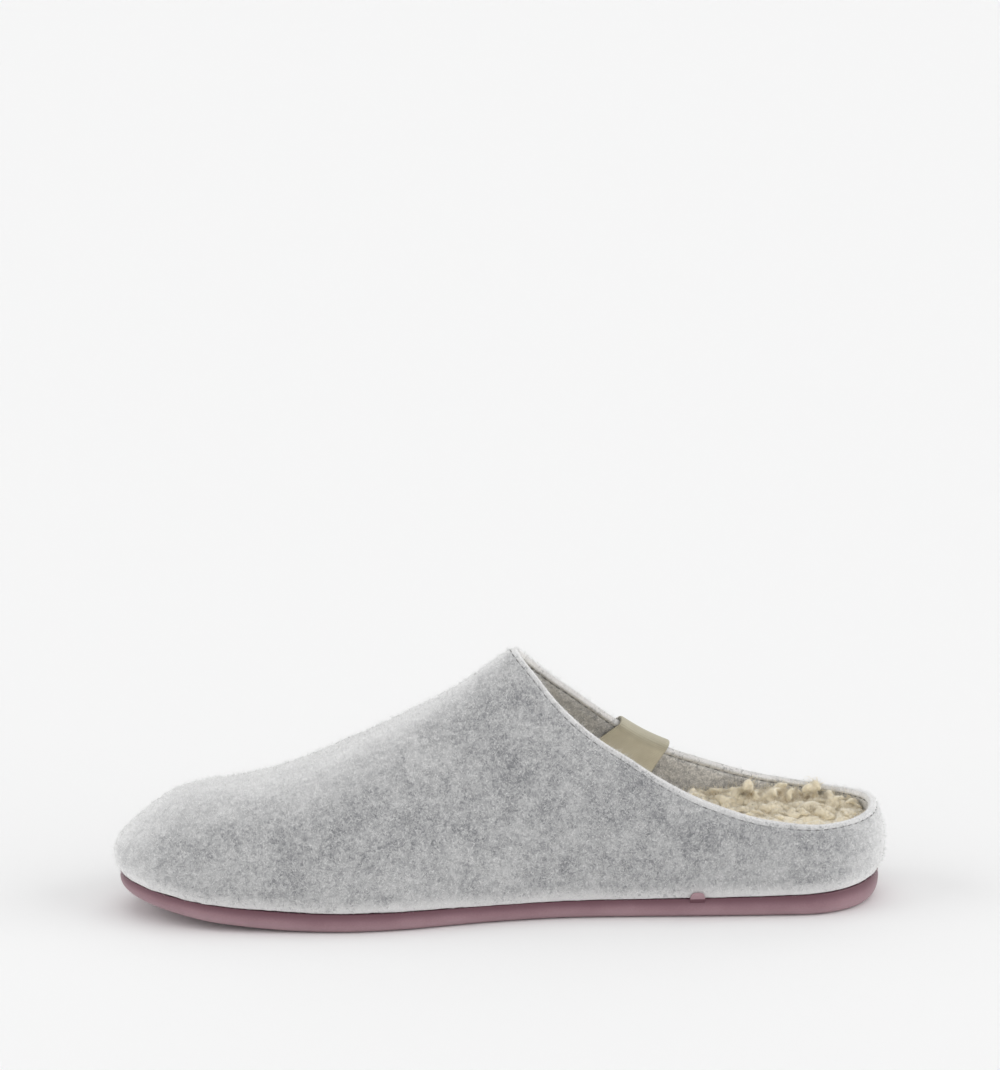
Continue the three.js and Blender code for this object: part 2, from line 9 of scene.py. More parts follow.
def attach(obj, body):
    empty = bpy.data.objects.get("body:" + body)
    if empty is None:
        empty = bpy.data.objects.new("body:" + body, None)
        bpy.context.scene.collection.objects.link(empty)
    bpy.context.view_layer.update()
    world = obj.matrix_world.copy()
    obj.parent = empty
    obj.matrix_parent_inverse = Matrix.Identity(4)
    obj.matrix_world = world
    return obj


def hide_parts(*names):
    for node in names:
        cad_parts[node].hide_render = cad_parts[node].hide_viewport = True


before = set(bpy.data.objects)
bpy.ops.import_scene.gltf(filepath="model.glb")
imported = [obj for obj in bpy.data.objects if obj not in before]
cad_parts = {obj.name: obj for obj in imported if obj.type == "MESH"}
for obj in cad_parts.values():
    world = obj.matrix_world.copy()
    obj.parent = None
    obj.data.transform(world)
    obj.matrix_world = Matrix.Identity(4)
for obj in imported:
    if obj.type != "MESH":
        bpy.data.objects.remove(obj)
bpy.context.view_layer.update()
noise.seed_set(5)  # noise_vector follows the clock without it
print("frame loaded")

mm = 0.001

# The shape that every piece follows, in millimetres, x counted from the back of the heel felt.
shape = {
    "length": 261.0,
    "ballWidth": 96.0,
    "instepRise": 74.0,
    "heelRise": 15.2,
    "bulgeRise": 7.6,
    "heelRound": 30.0,
    "toeRound": 35.0,
    "heelPower": 2.0,
    "toePower": 2.0,
    "toeDropPower": 1.52,
    "soleThickness": 7.0,
    "toeSpring": 8.0,
    "springStart": 0.71,
    "heelLift": 0.8,
    "heelLiftReach": 12.0,
    "ridgeSoftness": 0.12,
    "throatBetween": (0.4, 0.62),
    "gather": 2.3,
    "gatherMix": 0.7,
    "pieceGap": 0.3,
    "columns": 288,
    "heelBack": -130.45,  # row place of the heel's back and of the middle line
    "midline": 0.53,
}

# along, inner half, outer half, ridge, rise, fullness: shares of length, ballWidth and instepRise
sectionRows = [
    (0.0, 0.354, 0.354, 0.0, 0.46, 2.0),
    (0.08, 0.354, 0.354, 0.0, 0.44, 1.95),
    (0.18, 0.354, 0.36, 0.015, 0.85, 2.1),
    (0.25, 0.352, 0.375, 0.027, 0.93, 1.65),
    (0.34, 0.345, 0.4, 0.045, 0.93, 1.4),
    (0.415, 0.346, 0.425, 0.06, 0.99, 1.27),
    (0.455, 0.358, 0.443, 0.058, 1.015, 1.25),
    (0.485, 0.372, 0.458, 0.066, 0.982, 1.29),
    (0.515, 0.388, 0.472, 0.075, 0.909, 1.37),
    (0.56, 0.42, 0.49, 0.086, 0.796, 1.5),
    (0.635, 0.474, 0.505, 0.094, 0.65, 1.7),
    (0.7, 0.494, 0.496, 0.093, 0.539, 1.85),
    (0.76, 0.486, 0.462, 0.085, 0.444, 1.95),
    (0.82, 0.468, 0.412, 0.068, 0.374, 2.0),
    (0.87, 0.446, 0.36, 0.045, 0.341, 2.0),
    (0.93, 0.418, 0.295, 0.018, 0.336, 1.95),
    (1.0, 0.4, 0.25, 0.0, 0.26, 1.9),
]

# along, inner, outer: the collar's climb from heelRise to instepRise
collarRows = [
    (0.0, 0.0, 0.0),
    (0.05, 0.006, 0.003),
    (0.095, 0.018, 0.018),
    (0.14, 0.046, 0.046),
    (0.18, 0.084, 0.088),
    (0.24, 0.179, 0.177),
    (0.275, 0.251, 0.235),
    (0.31, 0.339, 0.32),
    (0.34, 0.427, 0.419),
    (0.37, 0.509, 0.529),
    (0.4, 0.61, 0.639),
    (0.43, 0.736, 0.748),
    (0.455, 0.868, 0.852),
    (0.48, 0.987, 0.969),
    (0.5, 1.076, 1.076),
]

# along, sole, footbed, pile: shares of soleThickness and of the footbed's thickness
bedRows = [
    (0.0, 1.35, 0.9, 0.2),
    (0.08, 1.13, 0.96, 0.2),
    (0.18, 1.02, 1.0, 0.24),
    (0.34, 0.95, 0.96, 0.18),
    (0.48, 0.91, 0.84, 0.1),
    (0.64, 0.96, 0.68, 0.06),
    (0.82, 0.98, 0.56, 0.04),
    (1.0, 0.8, 0.44, 0.02),
]


def curveThrough(rows, column):
    along = np.array([row[0] for row in rows])
    value = np.array([row[column] for row in rows])
    before = np.maximum(np.arange(len(rows)) - 1, 0)
    after = np.minimum(np.arange(len(rows)) + 1, len(rows) - 1)
    slope = (value[after] - value[before]) / (along[after] - along[before])

    def at(share):
        share = np.asarray(share, float)
        i = np.clip(np.searchsorted(along, share) - 1, 0, len(rows) - 2)
        span = along[i + 1] - along[i]
        t = np.clip((share - along[i]) / span, 0, 1)
        start = (1 + 2 * t) * (1 - t) ** 2 * value[i] + t * (1 - t) ** 2 * span * slope[i]
        end = t * t * (3 - 2 * t) * value[i + 1] - t * t * (1 - t) * span * slope[i + 1]
        return start + end

    return at


sectionCurves = [curveThrough(sectionRows, column) for column in range(1, 6)]
collarClimb = {1: curveThrough(collarRows, 1), -1: curveThrough(collarRows, 2)}
soleShare, footbedShare, pileShare = [curveThrough(bedRows, column) for column in (1, 2, 3)]


def roundOff(distance, reach, power):
    left = np.clip(1 - distance / reach, 0, 1)
    return (1 - left ** power) ** (1 / power)


def soleUnder(x):
    toe = np.maximum(0, (x / shape["length"] - shape["springStart"]) / (1 - shape["springStart"]))
    heel = np.maximum(0, 1 - x / shape["heelLiftReach"])
    return shape["toeSpring"] * toe ** 2 + shape["heelLift"] * heel ** 2


def soleTop(x):
    return soleUnder(x) + shape["soleThickness"] * soleShare(x / shape["length"])


def sectionAt(x):
    inner, outer, ridge, rise, fullness = [curve(x / shape["length"]) for curve in sectionCurves]
    toGo = shape["length"] - x
    heel = roundOff(x, shape["heelRound"], shape["heelPower"])
    plan = heel * roundOff(toGo, shape["toeRound"], shape["toePower"])
    high = heel * roundOff(toGo, shape["toeRound"], shape["toeDropPower"])
    axis = (inner - outer) / 2 * shape["ballWidth"]
    return {
        "axis": axis,
        "half": (inner + outer) / 2 * shape["ballWidth"] * plan,
        "ridge": axis + ridge * shape["ballWidth"] * plan,
        "rise": rise * shape["instepRise"] * high,
        "bulge": soleTop(x) + shape["bulgeRise"],
        "fullness": fullness,
    }


def reachOf(section, side):
    return np.maximum(1e-6, section["half"] + side * (section["axis"] - section["ridge"]))


softness = shape["ridgeSoftness"]
softEnd = math.hypot(1, softness) - softness


def feltHeight(x, y):
    section = sectionAt(x)
    side = np.where(y > section["ridge"], 1, -1)
    share = np.minimum(1, np.abs(y - section["ridge"]) / reachOf(section, side))
    soft = (np.hypot(share, softness) - softness) / softEnd
    lift = np.sqrt(np.maximum(0, 1 - soft ** section["fullness"]))
    return section["bulge"] + section["rise"] * lift


def edgePoint(x, side):
    section = sectionAt(x)
    return np.stack([x, section["axis"] + side * section["half"]], -1)


def collarRise(x, side):
    climb = collarClimb[side](x / shape["length"])
    return shape["heelRise"] + (shape["instepRise"] - shape["heelRise"]) * climb


def collarPoint(x, side):
    section = sectionAt(x)
    lift = np.minimum(1, collarRise(x, side) / section["rise"])
    soft = (1 - lift ** 2) ** (1 / section["fullness"])
    share = np.sqrt((soft * softEnd + softness) ** 2 - softness ** 2)
    y = section["ridge"] + side * share * reachOf(section, side)
    return np.stack([x, y, section["bulge"] + lift * section["rise"]], -1)


def lastWhere(holds, start, end):
    for _ in range(48):
        middle = (start + end) / 2
        start, end = (middle, end) if holds(middle) else (start, middle)
    return start


def runningLength(points):
    steps = np.linalg.norm(np.diff(points, axis=0), axis=1)
    return np.concatenate([[0], np.cumsum(steps)])


def alongLine(points, lengths, wanted):
    return np.stack([np.interp(wanted, lengths, points[:, k]) for k in range(points.shape[1])], -1)


def eased(start, end, count):
    return start + (end - start) * (1 - np.cos(np.pi * np.arange(count + 1) / count)) / 2


def underRidge(x):
    return collarRise(x, 1) < sectionAt(x)["rise"]


heelCollar = lastWhere(underRidge, shape["heelRound"], 0.0)
throat = lastWhere(underRidge, *[share * shape["length"] for share in shape["throatBetween"]])
outlineX = eased(0, shape["length"], 960)
outlineLengths = runningLength(np.stack([outlineX, sectionAt(outlineX)["half"]], -1))
collarLines = {side: collarPoint(eased(heelCollar, throat, 960), side) for side in (1, -1)}
collarLengths = {side: runningLength(line) for side, line in collarLines.items()}


def collarShare(share):
    mix = shape["gatherMix"]
    return mix * (1 - (1 - share) ** shape["gather"]) + (1 - mix) * share


# Columns run right round the slipper: heel, outer side, toe, inner side.
columnCount = shape["columns"]
halfCount = columnCount // 2
columnIndex = np.arange(columnCount)
columnSide = np.where(columnIndex <= halfCount, -1, 1)
columnShare = np.minimum(columnIndex, columnCount - columnIndex) / halfCount
columnX = np.interp(outlineLengths[-1] * columnShare, outlineLengths, outlineX)
columnEdge = edgePoint(columnX, columnSide)


def outwardAt(x, side):
    step = 0.01
    along = edgePoint(x + step, side) - edgePoint(x - step, side)
    along /= np.linalg.norm(along, axis=-1, keepdims=True)
    return np.stack([-side * along[..., 1], side * along[..., 0]], -1)


columnOutward = np.zeros((columnCount, 2))
between = (columnShare > 0) & (columnShare < 1)
columnOutward[between] = outwardAt(columnX[between], columnSide[between])
columnOutward[0] = (-1, 0)
columnOutward[halfCount] = (1, 0)


def raised(plan, z):
    return np.concatenate([plan, z[..., None]], -1)


def toRow(points):
    return (np.asarray(points) + [shape["heelBack"], shape["midline"], 0]) * mm


def ringFaces(rings, count, closed=False):
    low = np.arange(rings if closed else rings - 1)[:, None] * count
    high = (low + count) % (rings * count)
    here = np.arange(count)[None, :]
    after = (here + 1) % count
    corners = np.stack([low + here, low + after, high + after, high + here], -1)
    return corners.reshape(-1, 4).tolist()


def barFaces(rings, count):
    # Bars across the first ring, looking down, and across the last, looking up.
    faces = []
    for first, turned in ((0, -1), ((rings - 1) * count, 1)):
        for k in range(count // 2):
            ring = [k, k + 1, (count - k - 1) % count, (count - k) % count]
            faces.append([first + n for n in dict.fromkeys(ring)][::turned])
    return faces


def endFaces(rings, count):
    last = (rings - 1) * count
    return [list(range(count))[::-1], list(range(last, last + count))]


def addPiece(name, points, faces, numbers=None):
    mesh = bpy.data.meshes.new(name)
    mesh.from_pydata(np.asarray(points).tolist(), [], faces)
    mesh.polygons.foreach_set("use_smooth", np.ones(len(mesh.polygons), bool))
    for key, values in (numbers or {}).items():
        writeNumbers(mesh, key, values)
    mesh.validate()
    mesh.update()
    return showObject(name, mesh)


def showObject(name, data):
    piece = bpy.data.objects.new(name, data)
    bpy.context.scene.collection.objects.link(piece)
    return piece


def writeNumbers(mesh, key, values):
    layer = mesh.attributes.get(key) or mesh.attributes.new(key, "FLOAT", "POINT")
    layer.data.foreach_set("value", np.asarray(values, np.float32))


def readNumbers(mesh, key):
    values = np.zeros(len(mesh.vertices))
    mesh.attributes[key].data.foreach_get("value", values)
    return values


def rough(points, size, seed=0.0):
    scaled = np.asarray(points) / size + seed
    return np.array([noise.noise(Vector(p)) for p in scaled])


# A number socket of a material, so that sums on it are written as sums.
class Level:
    def __init__(self, board, socket):
        self.board = board
        self.socket = socket

    def worked(self, operation, *values):
        settings = {"operation": operation}
        return self.board.add("ShaderNodeMath", settings, dict(enumerate(values))).level()

    def __add__(self, other):
        return self.worked("ADD", self, other)

    def __radd__(self, other):
        return self.worked("ADD", other, self)

    def __sub__(self, other):
        return self.worked("SUBTRACT", self, other)

    def __rsub__(self, other):
        return self.worked("SUBTRACT", other, self)

    def __mul__(self, other):
        return self.worked("MULTIPLY", self, other)

    def __rmul__(self, other):
        return self.worked("MULTIPLY", other, self)

    def __truediv__(self, other):
        return self.worked("DIVIDE", self, other)

    def __pow__(self, other):
        return self.worked("POWER", self, other)

    def sine(self):
        return self.worked("SINE", self)

    def atLeast(self, other):
        return self.worked("MAXIMUM", self, other)

    def step(self, low, high):
        inputs = {"Value": self, "From Min": low, "From Max": high}
        settings = {"interpolation_type": "SMOOTHSTEP"}
        return self.board.add("ShaderNodeMapRange", settings, inputs).level()


class Made:
    def __init__(self, board, node):
        self.board = board
        self.node = node

    def out(self, name=0):
        return self.node.outputs[name]

    def level(self, name=0):
        return Level(self.board, self.node.outputs[name])


# A node tree with one way of adding any node: its type, its settings, then its inputs.
class Board:
    def __init__(self, tree):
        self.tree = tree

    def add(self, kind, settings=None, inputs=None):
        node = self.tree.nodes.new(kind)
        for name, value in (settings or {}).items():
            setattr(node, name, value)
        for name, value in (inputs or {}).items():
            self.feed(node.inputs[name], value)
        return Made(self, node)

    def feed(self, socket, value):
        if isinstance(value, Level):
            value = value.socket
        if isinstance(value, Made):
            value = value.out()
        if isinstance(value, bpy.types.NodeSocket):
            self.tree.links.new(value, socket)
        elif isinstance(value, tuple) and len(value) == 3 and socket.type == "RGBA":
            socket.default_value = (*value, 1)
        else:
            socket.default_value = value

    def mix(self, factor, first, second, blend="MIX"):
        settings = {"data_type": "RGBA", "blend_type": blend}
        return self.add("ShaderNodeMix", settings, {0: factor, 6: first, 7: second}).out(2)

    def grain(self, place, size, detail=3.0, harshness=0.5, warp=0.0):
        inputs = {
            "Vector": place,
            "Scale": 1 / (size * mm),
            "Detail": detail,
            "Roughness": harshness,
            "Distortion": warp,
        }
        return self.add("ShaderNodeTexNoise", {}, inputs).level()

    def stretched(self, place, turn, stretch):
        settings = {"vector_type": "POINT"}
        inputs = {"Vector": place, "Rotation": turn, "Scale": stretch}
        return self.add("ShaderNodeMapping", settings, inputs).out()

    def number(self, name):
        return self.add("ShaderNodeAttribute", {"attribute_name": name}).level("Fac")

    def bump(self, height, depth, strength):
        inputs = {"Height": height, "Distance": depth * mm, "Strength": strength}
        return self.add("ShaderNodeBump", {}, inputs).out()

    def graze(self):
        return self.add("ShaderNodeLayerWeight", {}, {"Blend": 0.5}).level("Facing")

    def skin(self, inputs):
        return self.add("ShaderNodeBsdfPrincipled", {}, inputs)

    def finish(self, surface):
        self.add("ShaderNodeOutputMaterial", {}, {"Surface": surface})

    def vectors(self, operation, first, second):
        key = "Scale" if operation == "SCALE" else 1
        settings = {"operation": operation}
        return self.add("ShaderNodeVectorMath", settings, {0: first, key: second}).out()

    def named(self, name):
        settings, inputs = {"data_type": "FLOAT"}, {"Name": name}
        return self.add("GeometryNodeInputNamedAttribute", settings, inputs).level("Attribute")

    def chance(self, low, high, seed):
        inputs = {2: low, 3: high, "Seed": seed}
        return self.add("FunctionNodeRandomValue", {"data_type": "FLOAT"}, inputs).level(1)

    def aimed(self, axis, along):
        settings = {"axis": axis}
        return self.add("FunctionNodeAlignRotationToVector", settings, {"Vector": along}).out()


def makeMaterial(name, preview):
    material = bpy.data.materials.new(name)
    material.use_nodes = True
    material.diffuse_color = (*preview, 1)
    material.node_tree.nodes.clear()
    board = Board(material.node_tree)
    place = board.add("ShaderNodeTexCoord").out("Object")
    return material, board, place


# Sizes are millimetres. Colours are linear.
feltLook = {
    "light": (0.495, 0.495, 0.495),
    "dark": (0.225, 0.227, 0.234),
    "fleck": (0.12, 0.124, 0.136),
    "fibre": (0.76, 0.757, 0.75),
    # pale colour painted on as highlight along the collar's bead and as sheen along the felt's
    # foot
    "rim": (0.73, 0.725, 0.72),
    "paleAndSheen": (0.98, 0.98, 0.975),
    "paintedSheenShare": 1.0,
    "paintedLightInside": (1.6, 1.56, 1.5),
    "fleckSize": 2.2,
    "patchSize": 12.0,
    "hairSize": 0.6,
    "bumpDepth": 0.3,
    "sheen": 0.5,
}


def feltMaterial():
    material, board, place = makeMaterial("feltGrey", (0.35, 0.35, 0.36))
    fleck = board.grain(place, feltLook["fleckSize"], 4, 0.7, 0.3)
    patch = board.grain(place, feltLook["patchSize"], 3, 0.55, 0.4)
    spot = board.grain(place, feltLook["fleckSize"] * 0.6, 3, 0.65, 0.6)
    hairs = []
    for turn in ((0.3, 0.2, 0.5), (1.3, 0.9, 2.0), (2.2, 1.9, 0.9)):
        lined = board.stretched(place, turn, (1, 0.22, 1))
        hairs.append(board.grain(lined, feltLook["hairSize"], 2, 0.6, 0.5))
    hair = (hairs[0] + hairs[1] + hairs[2]) / 3
    tone = (fleck - 0.5) * 1.5 + (patch - 0.5) * 0.7 + (hair - 0.5) * 1.5
    colour = board.mix(tone.step(-0.5, 0.5), feltLook["dark"], feltLook["light"])
    fromEdge = board.number("fromEdge")
    # Painted highlight: the hem's bead along the collar is lightened towards the pale rim colour,
    # where light catches its top.
    band = 1 - fromEdge.step(1.4, 2.4)
    # Painted sheen: the felt's foot is lightened towards the pale rim colour, standing in for its
    # lit fuzz.
    lowBand = 1 - board.number("fromSole").step(0.3, 6.5)
    darkFleck = 1 - (spot + (patch - 0.5) * 0.5).step(0.3, 0.46)
    lightFibre = hairs[0].atLeast(hairs[1]).step(0.56, 0.76)
    # Painted shade: a broken dark line in the seam's groove below the bead, in the fleck colour.
    groove = fromEdge.step(1.6, 1.9) * (1 - fromEdge.step(2.1, 2.5)) * fleck.step(0.4, 0.55)
    for where, share, tint in (
        (band, 0.55, "rim"), (lowBand, 0.7, "rim"), (darkFleck, 0.55, "fleck"),
        (lightFibre, 0.45, "fibre"), (groove, 0.35, "fleck"),
    ):
        colour = board.mix(where * share, colour, feltLook[tint])
    # Painted light: the felt's inner face is lightened, less so under the rim band, to stand in
    # for light that the inside lacks.
    inside = board.number("inside").step(0.3, 0.9)
    colour = board.mix(inside * (1 - band * 0.6), colour, feltLook["paintedLightInside"], "MULTIPLY")
    height = hair * 0.6 + fleck * 0.5 + board.grain(place, 0.25, 2, 0.6) * 0.25
    cloth = board.skin({
        "Base Color": colour,
        "Roughness": 0.93,
        "Specular IOR Level": 0.2,
        "Sheen Weight": feltLook["sheen"],
        "Sheen Roughness": 0.4,
        "Normal": board.bump(height, feltLook["bumpDepth"], 0.8),
    })
    # Painted sheen: a paler, fully rough skin is mixed in towards grazing angles, less so inside,
    # standing in for lit fuzz at the silhouettes.
    paleAndSheen = board.skin({
        "Base Color": board.mix(0.35, feltLook["paleAndSheen"], colour),
        "Roughness": 1.0,
        "Specular IOR Level": 0.1,
    })
    factor = (board.graze() ** 1.2) * (1 - inside * 0.5) * feltLook["paintedSheenShare"]
    board.finish(board.add("ShaderNodeMixShader", {}, {0: factor, 1: cloth, 2: paleAndSheen}))
    return material


def fuzzMaterial():
    material, board, place = makeMaterial("feltFuzz", feltLook["light"])
    tone = board.grain(place, 2.4, 3, 0.6)
    board.finish(board.skin({
        "Base Color": board.mix(tone.step(0.3, 0.6), feltLook["fibre"], feltLook["paleAndSheen"]),
        "Roughness": 0.9,
        "Specular IOR Level": 0.2,
        "Sheen Weight": 0.5,
    }))
    return material


feltGrey = feltMaterial()
feltFuzz = fuzzMaterial()

# The felt shell: out and up, over the stitched hem, and down inside.
felt = {
    "thickness": 3.0,
    "tuck": 2.2,
    "lowTurn": math.pi / 3,
    "hemWidth": 2.8,
    "outerRows": 66,
    "hemRowCount": 18,
    "innerRows": 46,
    "rowPower": 1.4,
    "hemRound": 0.3,  # how far the hem's fold stands over its corners
    "seamAt": 0.7,  # share of the hem's width
    "seamDepth": 0.14,
    "stitchPitch": 3.3,
    "lumps": ((26.0, 0.3), (6.0, 0.16), (1.9, 0.07)),  # size and height of its unevenness
    "ragged": 0.45,  # how uneven its lower edge is
}
hemSwell = curveThrough([(0, -0.3), (0.17, -0.07), (0.45, -0.02), (0.7, -0.1), (1, 0)], 1)


def tuckAt(drop):
    turn = np.arcsin(drop * math.sin(felt["lowTurn"]))
    return felt["tuck"] * (1 - np.cos(turn)) / (1 - math.cos(felt["lowTurn"]))


def feltColumns():
    turn = felt["lowTurn"]
    drop = np.sin(turn * np.arange(12, 0, -1) / 12) / math.sin(turn)
    lowPlan = columnEdge[:, None] - columnOutward[:, None] * tuckAt(drop)[None, :, None]
    lowZ = soleTop(lowPlan[..., 0]) + shape["bulgeRise"]
    lowZ = lowZ - (shape["bulgeRise"] - shape["pieceGap"]) * drop[None, :]
    collar = np.zeros((columnCount, 3))
    for side in (1, -1):
        line, lengths = collarLines[side], collarLengths[side]
        mine = columnSide == side
        collar[mine] = alongLine(line, lengths, lengths[-1] * collarShare(columnShare[mine]))
    t = (1 - np.cos(np.pi / 2 * np.arange(110) / 110))[None, :, None]
    highPlan = columnEdge[:, None] * (1 - t) + collar[:, None, :2] * t
    highZ = feltHeight(highPlan[..., 0], highPlan[..., 1])
    return np.concatenate([raised(lowPlan, lowZ), raised(highPlan, highZ), collar[:, None]], 1)


columns = feltColumns()
columnLengths = np.array([runningLength(points) for points in columns])
columnTotals = columnLengths[:, -1]


def onColumns(distances):
    return np.array([
        alongLine(columns[c], columnLengths[c], columnTotals[c] - distances[c])
        for c in range(columnCount)
    ])


def normalsOf(grid):
    up = np.empty_like(grid)
    up[:, 1:-1] = grid[:, 2:] - grid[:, :-2]
    up[:, 0] = grid[:, 1] - grid[:, 0]
    up[:, -1] = grid[:, -1] - grid[:, -2]
    across = np.roll(grid, -1, 0) - np.roll(grid, 1, 0)
    normals = np.cross(across, up)
    return normals / np.linalg.norm(normals, axis=-1, keepdims=True), up


def feltFace(rowCount):
    rise = (np.arange(rowCount) / rowCount) ** felt["rowPower"]
    plain = columnTotals - felt["hemWidth"]
    rising = columnTotals[:, None] - plain[:, None] * rise[None, :]
    hem = np.linspace(felt["hemWidth"], 0, felt["hemRowCount"])
    distances = np.concatenate([rising, np.repeat(hem[None], columnCount, 0)], 1)
    grid = onColumns(distances)
    normals, up = normalsOf(grid)
    share = distances / felt["hemWidth"]
    swell = np.where(share < 1, hemSwell(np.clip(share, 0, 1)) * felt["thickness"], 0)
    return grid, normals, up, distances, swell


def seamLine(face):
    grid, normals, _, _, _ = face
    lengths = np.full((columnCount, 1), felt["seamAt"] * felt["hemWidth"])
    line = onColumns(lengths)[:, 0]
    row = grid.shape[1] - 1 - round(felt["seamAt"] * (felt["hemRowCount"] - 1))
    return line, normals[:, row]


outerFace = feltFace(felt["outerRows"])
innerFace = feltFace(felt["innerRows"])


def makeFeltShell():
    rings, numbers = [], []
    seamPlace = runningLength(np.concatenate([outerFace[0][:, -1], outerFace[0][:1, -1]]))[:-1]
    stitched = 0.65 + 0.35 * np.cos(2 * np.pi * seamPlace / felt["stitchPitch"])
    for face, sign, base in ((outerFace, 1, 0.0), (innerFace, -1, felt["thickness"])):
        grid, normals, up, distances, swell = face
        share = distances / felt["hemWidth"]
        seam = felt["seamDepth"] * np.exp(-(((share - felt["seamAt"]) / 0.075) ** 2))
        out = swell - seam * stitched[:, None]
        skin = grid + normals * (sign * out - base)[..., None]
        lift = sum(
            height * rough(skin.reshape(-1, 3), size, 7.3 * sign).reshape(out.shape)
            for size, height in felt["lumps"]
        )
        skin = skin + normals * (sign * lift)[..., None]
        rings.append(skin)
        numbers.append((distances, columnTotals[:, None] - distances))
    outer, inner = rings
    outer[:, 0, 2] += np.abs(rough(outer[:, 0], 1.7, 3.1)) * felt["ragged"]
    inner[:, 0, 2] = outer[:, 0, 2]
    top = outerFace[2][:, -1] / np.linalg.norm(outerFace[2][:, -1], axis=-1, keepdims=True)
    folds = []
    for t in (0.12, 0.3, 0.5, 0.7, 0.88):
        lift = felt["hemRound"] * math.sin(math.pi * t)
        folds.append(outer[:, -1] * (1 - t) + inner[:, -1] * t + top * lift)
    grid = np.concatenate([outer, np.stack(folds, 1), inner[:, ::-1]], 1)
    foldCount = len(folds)
    zeros = np.zeros((columnCount, foldCount))
    fromEdge = np.concatenate([numbers[0][0], zeros, numbers[1][0][:, ::-1]], 1)
    fromSole = np.concatenate([numbers[0][1], zeros + 99, numbers[1][1][:, ::-1]], 1)
    inside = np.concatenate([
        np.zeros_like(numbers[0][0]),
        np.repeat(np.linspace(0.1, 0.9, foldCount)[None], columnCount, 0),
        np.ones_like(numbers[1][0]),
    ], 1)
    rows = grid.shape[1]
    grid, fromEdge, fromSole, inside = [
        np.swapaxes(values, 0, 1).reshape(rows * columnCount, *values.shape[2:])
        for values in (grid, fromEdge, fromSole, inside)
    ]
    marks = {"fromEdge": fromEdge, "fromSole": fromSole, "inside": inside}
    shell = addPiece("feltShell", toRow(grid), ringFaces(rows, columnCount, True), marks)
    shell.data.materials.append(feltGrey)
    return shell


feltShell = makeFeltShell()
print("felt shell made,", len(feltShell.data.polygons), "faces")

# The rubber sole.
sole = {
    "inset": 1.8,
    "edgeRound": 3.9,
    "sideRows": 26,
    "spineEnds": (0.09, 0.91),
    "nubWidth": 5.0,
    "nubRise": 2.2,
    "nubThickness": 0.9,
    "nubPlace": 0.252,
    "nubRoot": 3.0,
    "nubBite": 0.8,
    "colour": (0.19, 0.097, 0.118),
    "paintedFloorReflection": (0.4, 0.26, 0.288),
    "shaded": (0.1, 0.032, 0.047),
    "treadGrooveShade": (0.12, 0.06, 0.075),
    "roughness": 0.42,
    "treadPitch": 4.2,
}
# along the side from below, in, up
sidePath = [(0, 1, 0), (0.2, 0.62, 0.06), (0.4, 0.3, 0.19), (0.6, 0.1, 0.38), (0.8, 0.02, 0.64),
            (1, 0.06, 1)]
sideIn, sideUp = curveThrough(sidePath, 1), curveThrough(sidePath, 2)
# across the nub, share of its height
nubRows = [(-0.5, 0.1), (-0.42, 0.7), (-0.25, 1), (0.25, 1), (0.42, 0.7), (0.5, 0.1)]


def spinePoints():
    low, high = sole["spineEnds"]
    x = shape["length"] * (low + (high - low) * columnX / shape["length"])
    return np.stack([x, sectionAt(x)["axis"]], -1)


spine = spinePoints()
capShares = (0.04, 0.12, 0.25, 0.42, 0.62, 0.82, 0.96)


def makeNub():
    across = -0.5 * np.cos(np.linspace(0, np.pi, 17))
    high = curveThrough(nubRows, 1)
    rings = []
    for share in across:
        x = sole["nubPlace"] * shape["length"] + share * sole["nubWidth"]
        edge = float(edgePoint(np.array(x), 1)[1])
        foot = edge - sole["inset"]
        top = float(soleTop(np.array(x)))
        levels = shape["pieceGap"] + np.linspace(0, 1, 7) * float(high(share)) * sole["nubRise"]
        drops = 1 - (levels - shape["pieceGap"]) / (shape["bulgeRise"] - shape["pieceGap"])
        near, far = [
            [(x, edge - felt["tuck"] + stand, top)] + [
                (x, edge - float(tuckAt(drop)) + stand, top + level)
                for level, drop in zip(levels, drops)
            ]
            for stand in (shape["pieceGap"] + sole["nubThickness"], shape["pieceGap"])
        ]
        bite, root = sole["nubBite"], sole["nubRoot"]
        front = [(x, foot - bite, top - root), (x, foot + sole["nubThickness"] / 8, top - bite)]
        back = [(x, foot - 2 * bite, top - root), (x, foot - 2 * bite, top - bite)]
        rings.append(front + near + (back + far)[::-1])
    count = len(rings[0])
    faces = [face[::-1] for face in ringFaces(len(rings), count) + endFaces(len(rings), count)]
    return np.array(rings).reshape(-1, 3), faces


